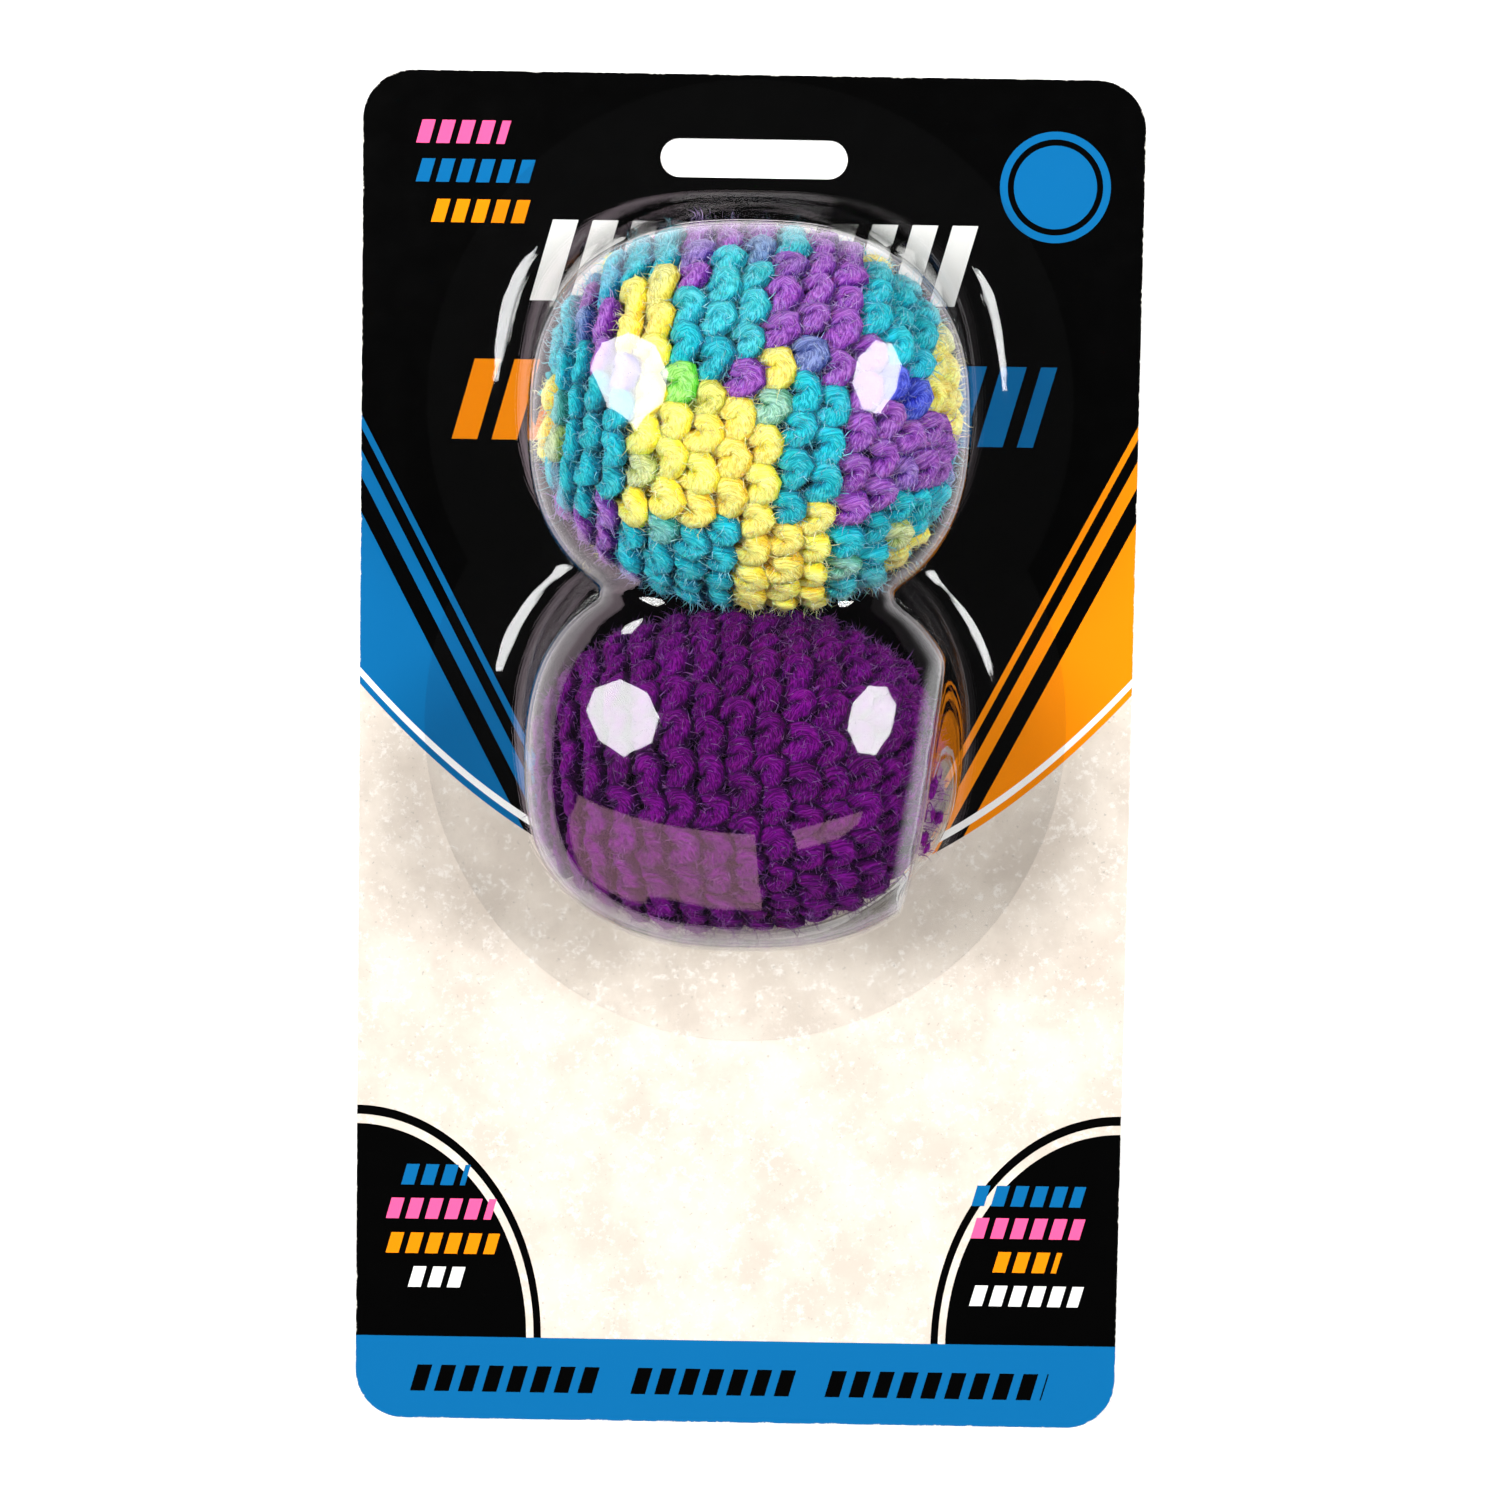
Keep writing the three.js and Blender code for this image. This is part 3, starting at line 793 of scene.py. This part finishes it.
def set_pieces(tree, given, points, kind, turn, size):
    """Sets a piece of its kind on each point, with its turn and size, and makes them real."""
    pieces = add(tree, "GeometryNodeCollectionInfo", {
        "Collection": given["Pieces"], "Separate Children": True, "Reset Children": True})[0]
    placed = add(tree, "GeometryNodeInstanceOnPoints", {
        "Points": points, "Instance": pieces, "Pick Instance": True, "Instance Index": kind,
        "Rotation": turn, "Scale": size})[0]
    return add(tree, "GeometryNodeRealizeInstances", {0: placed})[0]


def dress(tree, given, geometry):
    """Ends a tree with its material."""
    inputs = {"Geometry": geometry, "Material": given["Material"]}
    add(tree, "NodeGroupOutput", {0: add(tree, "GeometryNodeSetMaterial", inputs)[0]})


def run_tree(tree, piece, **values):
    """Runs a tree on a piece, with its inputs set by their identifiers, and keeps the mesh."""
    setter = piece.modifiers.new("set pieces", "NODES")
    setter.node_group = tree
    for item in tree.interface.items_tree:
        if item.in_out == "INPUT" and item.name in values:
            setter[item.identifier] = values[item.name]
    return settle(piece)


# %% The tree that sets a piece on every point
# Reads each point's turn, size, kind and tone, puts the piece of that kind there and keeps the tone.
# A slow noise then shifts the corners, so that no two loops are alike.
def scatter_tree():
    tree, given = new_tree("set pieces on points", {
        "Points": "Geometry", "Pieces": "Collection", "Material": "Material",
        "Unevenness": "Float"}, "Mesh")
    turn, size, kind = (
        add(tree, "GeometryNodeInputNamedAttribute", {"Name": name}, data_type=kind)[0]
        for name, kind in (("turn", "FLOAT_VECTOR"), ("size", "FLOAT_VECTOR"), ("kind", "INT")))
    turn = add(tree, "FunctionNodeEulerToRotation", {0: turn})[0]
    real = set_pieces(tree, given, given["Points"], kind, turn, size)
    cloud = add(tree, "ShaderNodeTexNoise", {"Scale": 230.0, "Detail": 1.0})["Color"]
    cloud = add(tree, "ShaderNodeVectorMath", {0: cloud, 1: (0.5, 0.5, 0.5)}, operation="SUBTRACT")[0]
    shift = {0: cloud, "Scale": given["Unevenness"]}
    shift = add(tree, "ShaderNodeVectorMath", shift, operation="SCALE")[0]
    dress(tree, given, add(tree, "GeometryNodeSetPosition", {"Geometry": real, "Offset": shift})[0])
    return tree


scatter_nodes = scatter_tree()


def scatter(name, places, pieces, material, unevenness=0.0):
    """An object with a piece set on each place: (point, turn, size, kind, tone)."""
    mesh = bpy.data.meshes.new(name)
    mesh.from_pydata([tuple(place[0]) for place in places], [], [])
    for label, kind, field, slot in (
            ("turn", "FLOAT_VECTOR", "vector", 1), ("size", "FLOAT_VECTOR", "vector", 2),
            ("kind", "INT", "value", 3), ("tone", "FLOAT_COLOR", "color", 4)):
        layer = mesh.attributes.new(label, kind, "POINT")
        flat = np.array([place[slot] for place in places]).ravel()
        layer.data.foreach_set(field, flat.astype(np.int32 if kind == "INT" else np.float32))
    made = show(name, mesh)
    return run_tree(scatter_nodes, made, Pieces=pieces, Material=material, Unevenness=unevenness)


# %% Yarn
# Fuzzy acrylic yarn: plies wound round each loop, fine fibres along them, and a soft sheen. Its colour
# is each loop's own tone, a little uneven along the loop as dyed yarn is. Paler fibres are screened on,
# which is partly painted sheen. The colour is painted darker and fuller between the fibres, in the
# grooves between the plies and down the loop's flanks and underside: painted shade, where light meets
# the dye more than once.
def yarn_material(name, dyed, uneven_dye_and_painted_sheen):
    made, tree, where = new_material(name)
    tone = add(tree, "ShaderNodeAttribute", attribute_name="tone")["Color"]
    apart = add(tree, "ShaderNodeSeparateXYZ", [add(tree, "ShaderNodeUVMap", uv_map="yarn")[0]])
    u, v = apart["X"], apart["Y"]
    twist = v * 1.6 + u
    ply = abs(add(tree, "ShaderNodeMath", [twist * (3 * math.pi)], operation="SINE")[0])
    along = add(tree, "ShaderNodeCombineXYZ", [twist * 30, v * 6])[0]
    place = add(tree, "ShaderNodeVectorMath", [along, where], operation="ADD")[0]
    strands = add(tree, "ShaderNodeTexNoise", {
        "Vector": place, "Scale": 1, "Detail": 3, "Roughness": 0.6})["Fac"]
    fluff = add(tree, "ShaderNodeTexNoise", {
        "Vector": where, "Scale": 2.6, "Detail": 4, "Roughness": 0.65})["Fac"]
    height = fluff * 0.7 + (ply * 0.35 + strands * 1.3)
    uneven = add(tree, "ShaderNodeTexNoise", {"Vector": where, "Scale": 0.55})["Fac"]
    # The uneven share is dye. The strands share screens paler fibres on, partly painted sheen.
    for value, low, high, full in ((uneven, 0.3, 0.7, 0.5), (strands, 0.52, 0.68, 0.6)):
        share = add(tree, "ShaderNodeMapRange", [value, low, high, 0, full], **smooth)[0]
        tone = add(tree, "ShaderNodeMix", {0: share, 6: tone, 7: uneven_dye_and_painted_sheen}, blend_type="SCREEN", **colours)[2]
    # Painted shade: the colour is made darker and fuller between the fibres, and down the loop's flanks and
    # underside.
    deeper = add(tree, "ShaderNodeMapRange", [strands, 0.34, 0.60, 1.4, 0.95], **smooth)[0]
    painted_flank_shade = add(tree, "ShaderNodeMapRange", [abs(u - 0.5), 0.07, 0.25, 0.95, 2.3], **smooth)[0]
    tone = add(tree, "ShaderNodeGamma", {"Color": tone, "Gamma": deeper * painted_flank_shade})[0]
    # Painted shade in the grooves between the plies, with fibres lighter and darker at random.
    shade = add(tree, "ShaderNodeMapRange", [strands, 0.34, 0.60, 0.78, 1.2], **smooth)[0]
    shade = shade * add(tree, "ShaderNodeMapRange", [ply, 0, 0.35, 0.9, 1], **smooth)[0]
    tone = add(tree, "ShaderNodeVectorMath", {0: tone, "Scale": shade}, operation="SCALE")[0]
    relief = add(tree, "ShaderNodeBump", {"Height": height, "Strength": 0.9, "Distance": 0.0003})[0]
    cloth = add(tree, "ShaderNodeBsdfPrincipled", {
        "Base Color": tone, "Roughness": 0.9, "Specular IOR Level": 0.06, "Subsurface Weight": 0.8,
        "Subsurface Radius": (1, 0.7, 0.4), "Subsurface Scale": 0.0008, "Sheen Weight": 0.08,
        "Sheen Roughness": 0.6, "Sheen Tint": dyed, "Normal": relief})[0]
    add(tree, "ShaderNodeOutputMaterial", [cloth])
    return made


variegated = yarn_material(
    "variegated acrylic yarn, crocheted", dyed=(0.7, 0.9, 0.9, 1), uneven_dye_and_painted_sheen=(0.06, 0.09, 0.08, 1))
purple_yarn = yarn_material(
    "deep purple acrylic yarn, crocheted", dyed=(0.5, 0.1, 0.6, 1), uneven_dye_and_painted_sheen=(0.04, 0.004, 0.045, 1))

# %% Colours along the yarn
# The upper bag's yarn is dyed in stretches of teal, purple and yellow, which pool into patches where the
# stretches of neighbouring rounds fall together. Patches in front are placed as in the photograph, in
# millimetres from the bag's middle; everywhere else the stretches follow each other along the spiral.
teal, light_teal = linear("#08B2C2"), linear("#3EBCC8")
violet, lilac = linear("#964EB2"), linear("#B46ACA")
yellow, lime, sea = linear("#FFEA7C"), linear("#9CE070"), linear("#4650C8")
pools = [  # middle across and along the card, half sizes, and colour
    (-14.5, 22, 6.5, 3.5, light_teal), (-4.5, 22.5, 6, 2.8, violet), (4, 21.5, 3, 3, light_teal),
    (9, 21, 4, 3, violet), (15.5, 19.5, 3.5, 3, light_teal), (-17.5, 17, 6, 4, teal),
    (-7.5, 16.5, 1.8, 2, violet), (-3, 14, 4, 6.5, light_teal), (7.5, 15.5, 5, 7.5, violet),
    (17.5, 14, 4.5, 6, teal), (-18, 12.5, 2.6, 4.2, violet), (-12.8, 13, 3, 4, yellow),
    (-6.5, 9, 3.5, 3.5, teal), (-23.5, 9.5, 3.5, 6, teal), (-24.5, 5.5, 1.6, 2.4, yellow),
    (-6.5, 4.8, 3.2, 1.6, lime), (-1.5, 5.5, 1.3, 2.2, violet), (1.8, 6.2, 2, 3, yellow),
    (6, 4, 3.5, 4.2, teal), (12, 8.5, 4, 4, violet), (18.6, 4.8, 2.2, 1.8, sea),
    (23.5, 5, 1.8, 6, yellow), (-25, -1, 2, 4.5, yellow), (-19.5, -1.5, 4.5, 4, teal),
    (-9.5, -2, 3.5, 4, yellow), (-4.5, -4.5, 7, 8, yellow), (7, -3.5, 4.2, 5, teal),
    (15, -3, 5.5, 4.5, violet), (22.5, -4, 3, 4, violet), (-19, -7.5, 4.5, 3.5, teal),
    (4.5, -9, 3.5, 3, teal), (12.5, -9, 3.5, 3, violet), (19.5, -10, 4, 4, teal),
    (-20.5, -12.5, 4, 3.5, violet), (-13, -11, 2.5, 2, yellow), (-7.5, -12.5, 2.2, 1.6, lime),
    (-5.5, -15, 4, 4, teal), (-13, -16, 4.5, 4, teal), (4, -15.5, 6, 5.5, yellow),
    (13.5, -14.5, 3.5, 3.5, teal), (-17, -18, 4.5, 3.5, violet), (-8, -20, 5, 3, teal),
    (5, -20.5, 5.5, 3.5, yellow), (14, -20, 4, 3, light_teal), (19, -16.5, 3, 3, yellow),
]
stretches = [(teal, 9), (light_teal, 4), (violet, 7), (lilac, 2), (teal, 6), (lime, 1), (yellow, 6),
             (lime, 1)]


def upper_tone(place, outward, yarn_used, dice):
    if outward.z > -0.05:
        ranked = sorted((math.hypot((place.x - px) / hx, (place.y - py) / hy), k)
                        for k, (px, py, hx, hy, _) in enumerate(pools))
        (near, first), (next_near, second) = ranked[:2]
        if near < 1.9:
            share = max(0, 0.5 - 2.2 * (next_near - near))
            return mixed(pools[first][4], pools[second][4], share)
    step = yarn_used % sum(length for _, length in stretches)
    for colour, length in stretches:
        if step < length:
            return colour
        step -= length
    return teal


def lower_tone(place, outward, yarn_used, dice):
    return mixed(linear("#50005A"), linear("#62026E"), dice.random())


# %% Set the stitches along the spiral
loop_inset = 2.35     # from the bag's form to the loops' middles
first_round, last_round = 2.6, 4.4  # how far from either pole the stitches start and end
look_ahead = 1.5      # along a meridian, to find which way the first rounds lie


def crochet(bag, tone_of, material, seed):
    dice = random.Random(seed)
    shares, far, turns, around = bag.even_shares()
    whole, girth = far[-1], around[-1]
    places, ground_tones = [], []
    s, lap, stitch = first_round, 0.0, 0
    while s < whole - last_round:
        share = float(np.interp(s, far, shares))
        reach = max(math.cos(math.pi / 2 - share * math.pi), 0.0) ** (2 / bag.pole_power)
        wanted = max(round(girth * reach / stitch_width), 5) + 0.5
        turn = float(np.interp(lap % 1.0 * girth, around, turns))
        p = bag.point(share, turn, loop_inset)
        n = bag.normal(p, loop_inset)
        ahead = bag.point(float(np.interp(min(s + look_ahead, whole), far, shares)), turn, loop_inset)
        back = (p - ahead) - n * (p - ahead).dot(n)
        back.normalize()
        back = Matrix.Rotation(dice.uniform(-0.32, 0.28), 3, n) @ back
        across = back.cross(n)
        facing = (bag.place.to_3x3() @ Matrix((across, back, n)).transposed()).to_euler()
        crowd = min(girth * reach / wanted / stitch_width, 1.0)
        size = Vector((crowd, 1.0, 0.55 + 0.45 * crowd)) * dice.uniform(0.93, 1.08)
        middle = p + n * dice.uniform(-0.25, 0.15) + across * dice.uniform(-0.3, 0.3)
        tone = tone_of(bag.place.to_3x3() @ middle, bag.place.to_3x3() @ n, stitch, dice)
        lighter = dice.uniform(0.9, 1.1)
        tone = (*(min(c * lighter, 1.0) for c in tone[:3]), 1.0)
        places.append((bag.place @ middle * MM, facing, size, dice.randrange(len(drawn_together)), tone))
        ground_tones.append((bag.place @ middle, tone))
        stitch += 1
        lap += 1 / wanted
        s += round_height / wanted
    print(bag.name, "cover:", stitch, "stitches,", round(girth / stitch_width, 1), "in the widest round")
    cover = scatter(bag.name + "_crochet_cover_stitches", places, loops, material, 0.0018)
    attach(cover, "root")
    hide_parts(bag.name + "_crochet_cover")
    return cover, ground_tones


upper_cover, upper_tones = crochet(upper_bag, upper_tone, variegated, 21)
lower_cover, lower_tones = crochet(lower_bag, lower_tone, purple_yarn, 22)
print("faces in the covers:", len(upper_cover.data.polygons), len(lower_cover.data.polygons))

# %% [markdown]
# ## Behind the stitches
# Between the loops one sees the backs of the stitches, of the same yarn. Their colour is painted darker
# and fuller, as painted shade for the gaps between the loops. They are one closed wall with the small
# hole at the closing pole. Acrylic yarn also sheds fine fibres, which blur its edge: a second tree strews
# short curved ones over the stitches. These fibres are a little paler than the yarn, which is a painted
# highlight for the light they catch.


# %% Walls drawn in from a bag's form
def bag_wall(bag, name, outer, inner, hole, rings, sides, wrinkle=None):
    """A closed wall between two insets of a bag's form, open at the left pole by the hole's radius."""
    shares, far, turns, around = bag.even_shares()
    points, faces, ends = [], [], []
    for inset in (outer, inner):
        start = len(points)
        widest = min(half - inset for half in bag.halves[1:])
        reach = [float(np.interp(s, far, shares)) for s in np.linspace(0, far[-1], rings + 1)][1:-1]
        reach = [share for share in reach if share < 0.5
                 or widest * math.sin(share * math.pi) ** (2 / bag.pole_power) > hole * 1.2]
        end = 1 - math.asin(min((hole / widest) ** (bag.pole_power / 2), 1)) / math.pi
        for share in (*reach, end):
            for side in range(sides):
                turn = float(np.interp(side / sides * around[-1], around, turns))
                deeper = wrinkle(share, turn) if wrinkle else 0.0
                points.append(bag.place @ bag.point(share, turn, inset + deeper) * MM)
        count = len(reach) + 1
        points.append(bag.place @ bag.point(0, 0, inset) * MM)
        faces += fan(start + count * sides, start, sides)
        for ring in range(count - 1):
            faces += band(start + ring * sides, start + (ring + 1) * sides, sides)
        ends.append(start + (count - 1) * sides)
    return new_object(name, points, faces + band(*ends, sides))


def stitch_backs(bag, tones, material):
    backs = bag_wall(bag, bag.name + "_crochet_cover_backs", 3.0, cover_thickness, 2.8, 44, 60)
    tree = KDTree(len(tones))
    for k, (p, _) in enumerate(tones):
        tree.insert(p * MM, k)
    tree.balance()
    layer = backs.data.attributes.new("tone", "FLOAT_COLOR", "POINT")
    for k, corner in enumerate(backs.data.vertices):
        tone = tones[tree.find(corner.co)[1]][1]
        # Painted shade: each corner takes the nearest loop's tone, made darker and fuller.
        layer.data[k].color = (*(0.9 * c ** 1.5 for c in tone[:3]), 1.0)
    backs.data.uv_layers.new(name="yarn")
    backs.data.materials.append(material)
    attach(backs, "root")


stitch_backs(upper_bag, upper_tones, variegated)
stitch_backs(lower_bag, lower_tones, purple_yarn)

# %% Loose fibres
# Each is a bent strip that ends in a point. Its UVs say the top of a strand, which the yarn's painted flank
# shade leaves at its brightest.
fibres = new_group("fibres")
fibre_rise, fibre_half_width, fibre_kinds = 1.25, 0.038, 5
shaper = random.Random(5)
for variant in range(fibre_kinds):
    bend, curl = shaper.uniform(0.7, 1.5) * shaper.choice((-1, 1)), shaper.uniform(-0.5, 0.5)
    points = []
    for k in range(3):
        rise = math.sin(k / 2 * 1.9) * fibre_rise - 0.2
        middle = Vector((bend * (k / 2) ** 1.6, curl * math.sin(k * 1.5), rise))
        half = Vector((0, fibre_half_width * (2 - k), 0))
        points += [(middle - half) * MM, (middle + half) * MM] if k < 2 else [middle * MM]
    fibre = new_object("fibre_" + str(variant), points, [(0, 1, 3, 2), (2, 3, 4)], group=fibres)
    for corner in fibre.data.uv_layers.new(name="yarn").data:
        corner.uv = (0.5, 0.5)


def strew_tree():
    tree, given = new_tree("strew fibres", {
        "Mesh": "Geometry", "Pieces": "Collection", "Density": "Float", "Seed": "Int",
        "Material": "Material"}, "Fibres")
    spots = add(tree, "GeometryNodeDistributePointsOnFaces", {
        "Mesh": given["Mesh"], "Density": given["Density"], "Seed": given["Seed"]})
    tilt, size, kind = (  # the node has inputs and an output of its own for each type of value
        add(tree, "FunctionNodeRandomValue", {**limits, "Seed": given["Seed"]}, data_type=kind)[place]
        for kind, limits, place in (("FLOAT_VECTOR", {0: (-1.2, -1.2, 0.0), 1: (1.2, 1.2, 6.28)}, 0),
                                    ("FLOAT", {2: 0.5, 3: 1.2}, 1), ("INT", {4: 0, 5: fibre_kinds - 1}, 2)))
    tilt = add(tree, "FunctionNodeEulerToRotation", {0: tilt})[0]
    turn = add(tree, "FunctionNodeRotateRotation", {0: spots["Rotation"], 1: tilt}, rotation_space="LOCAL")
    dress(tree, given, set_pieces(tree, given, spots["Points"], kind, turn[0], size))
    return tree


strew_nodes = strew_tree()


def fuzz(cover, bag, density, seed, painted_fibre_highlight, material):
    haze = show(bag.name + "_crochet_cover_fuzz", cover.data.copy())
    tones = haze.data.attributes["tone"].data
    flat = np.empty(len(tones) * 4, np.float32)
    tones.foreach_get("color", flat)
    # Painted highlight: the fibres' tones are lifted towards white.
    tones.foreach_set("color", flat + (1 - flat) * painted_fibre_highlight)
    run_tree(strew_nodes, haze, Pieces=fibres, Density=density, Seed=seed, Material=material)
    for corner in haze.data.vertices:  # fibres that meet the card lie down on it
        corner.co.z = max(corner.co.z, (card_top + 0.05) * MM)
    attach(haze, "root")
    print(bag.name, "fuzz:", len(haze.data.polygons), "faces")


fuzz(upper_cover, upper_bag, 1400000.0, 3, 0.2, variegated)
fuzz(lower_cover, lower_bag, 1500000.0, 4, 0.05, purple_yarn)

# %% [markdown]
# ## Pouch, pellets and knot
# The pellets would work out between the stitches, so a thin cloth pouch holds them, gathered at its
# neck by the closing pole. The yarn's end is tied there in an overhand knot and drawn into the bag.

# %% Lining cloth
lining, tree, where = new_material("plain-woven lining cloth")
apart = add(tree, "ShaderNodeSeparateXYZ", [where])
diagonals = (apart["X"] + apart["Z"], apart["Y"] - apart["Z"])
warp, weft = (add(tree, "ShaderNodeMath", [way * 14], operation="SINE")[0] for way in diagonals)
weave = warp * weft
slubs = add(tree, "ShaderNodeTexNoise", {"Vector": where, "Scale": 1.4, "Detail": 3})["Fac"]
tint = linear("#E6E2D8")
for value, low, high, full, colour in (
        (slubs, 0.35, 0.65, 1, "#F4F1E9"), (weave, 0.2, 0.9, 0.35, "#B8B2A4")):
    share = add(tree, "ShaderNodeMapRange", [value, low, high, 0, full], **smooth)[0]
    tint = add(tree, "ShaderNodeMix", {0: share, 6: tint, 7: linear(colour)}, **colours)[2]
relief = add(tree, "ShaderNodeBump", {"Height": weave, "Strength": 0.5, "Distance": 0.0001})[0]
cloth = add(tree, "ShaderNodeBsdfPrincipled", {
    "Base Color": tint, "Roughness": 0.85, "Normal": relief,
    "Sheen Weight": 0.2, "Sheen Roughness": 0.5})[0]
add(tree, "ShaderNodeOutputMaterial", [cloth])


# %% Pouches
def pleats(share, turn):
    """How far the cloth is drawn in: pleats towards the gathered neck, and slight waves all over."""
    gathered = max(0.0, (share - 0.62) / 0.38) ** 1.5
    folds = 0.25 * gathered * (1 + math.cos(17 * turn + 2 * math.sin(3 * turn)))
    return folds + 0.06 * (1 + math.sin(5 * turn + 19 * share))


for bag in (upper_bag, lower_bag):
    outer = cover_thickness + soft_gap
    inner = outer + pouch_thickness
    pouch = bag_wall(bag, bag.name + "_pellet_pouch_cloth", outer, inner, 1.6, 60, 102, pleats)
    pouch.data.materials.append(lining)
    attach(pouch, "root")
    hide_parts(bag.name + "_pellet_pouch")

# %% Pellets
pellet_plastic, tree, where = new_material("moulded off-white plastic pellets")
tone = add(tree, "ShaderNodeAttribute", attribute_name="tone")["Color"]
specks = add(tree, "ShaderNodeTexNoise", {"Vector": where, "Scale": 1.1, "Detail": 3})["Fac"]
share = add(tree, "ShaderNodeMapRange", [specks, 0.4, 0.7, 0, 0.3], **smooth)[0]
tint = add(tree, "ShaderNodeMix", {0: share, 6: tone, 7: linear("#F2EEE2")}, **colours)[2]
relief = add(tree, "ShaderNodeBump", {"Height": specks, "Strength": 0.2, "Distance": 0.0001})[0]
bead = add(tree, "ShaderNodeBsdfPrincipled", {"Base Color": tint, "Roughness": 0.42, "Normal": relief})[0]
add(tree, "ShaderNodeOutputMaterial", [bead])

beads = new_group("pellet kinds")
pellet_radius, pellet_pitch = 1.9, 4.25
pellet_flatness = (0.78, 0.88, 0.95)
for variant, flatness in enumerate(pellet_flatness):
    work = bmesh.new()
    bmesh.ops.create_uvsphere(work, u_segments=8, v_segments=5, radius=pellet_radius * MM)
    for corner in work.verts:
        corner.co.z *= flatness
    for face in work.faces:
        face.smooth = True
    mesh = bpy.data.meshes.new("pellet_" + str(variant))
    work.to_mesh(mesh)
    work.free()
    show(mesh.name, mesh, beads)

# The pellets lie in close-packed layers, a little out of place, wherever the pouch has room for one.
row_pitch, layer_pitch = pellet_pitch * 0.866, pellet_pitch * 0.8165
room = cover_thickness + soft_gap + pouch_thickness + soft_gap + 2.0
steps = range(-8, 9)
for bag in (upper_bag, lower_bag):
    dice = random.Random(31)
    span, length, depth = (half - room for half in bag.halves)
    places = []
    for layer, row, column in itertools.product(steps, steps, steps):
        p = Vector(((column + 0.5 * (row % 2) + 0.5 * (layer % 2)) * pellet_pitch,
                    (row + (1 / 3) * (layer % 2)) * row_pitch, layer * layer_pitch))
        p += Vector([dice.uniform(-0.16, 0.16) for _ in range(3)])
        ring = (abs(p.y) / length) ** bag.round_power + (abs(p.z) / depth) ** bag.round_power
        if (abs(p.x) / span) ** bag.pole_power + ring ** (bag.pole_power / bag.round_power) > 1:
            continue
        tone = mixed(linear("#D9D3C2"), linear("#EDE8DA"), dice.random())
        turn = Euler([dice.uniform(0, 6.28) for _ in range(3)])
        kind = dice.randrange(len(pellet_flatness))
        places.append((bag.place @ p * MM, turn, Vector((1, 1, 1)), kind, tone))
    pellets = scatter(bag.name + "_pellets", places, beads, pellet_plastic)
    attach(pellets, "root")
    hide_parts(bag.name + "_pellet_fill")
    print(bag.name, "bag:", len(places), "pellets,", len(pellets.data.polygons), "faces")

# %% Closing knots
# An overhand knot is a trefoil with its two ends led out. It sits in the cover's wall at the left pole.
knot_size = 1.3
for bag, material, slot, colour in ((upper_bag, variegated, "variegated_yarn", teal),
                                    (lower_bag, purple_yarn, "purple_yarn", linear("#5A0F78"))):
    path = [Vector((2.2, 0.3, 0.4)), Vector((1.6, 0.35, 0.9))]
    for a in (0.32 + k / 56 * (4 * math.pi - 0.64) for k in range(57)):
        swell = knot_size * (2 + math.cos(1.5 * a)) * 0.5
        dip = knot_size * math.sin(1.5 * a) * 0.5
        path.append(Vector((-dip, swell * math.sin(a), swell * math.cos(a))))
    path += [Vector((-0.9, -0.9, 1.6)), Vector((-1.5, -1.3, 1.2))]
    spine = [bag.place @ (p + Vector((-bag.halves[0] + cover_thickness / 2, 0, 0))) for p in path]
    radii = [0.3] + [0.5] * (len(path) - 3) + [0.46, 0.36]
    knot = tube(bag.name + "_tied_yarn_end", spine, radii, 10)
    for corner in knot.data.attributes.new("tone", "FLOAT_COLOR", "POINT").data:
        corner.color = colour
    knot.data.materials.append(material)
    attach(knot, "root")
    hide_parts(bag.name + "_closing_knot")

# %% Clear away the templates
for group in (loops, fibres, beads):
    for template in list(group.objects):
        bpy.data.objects.remove(template)
    bpy.data.collections.remove(group)
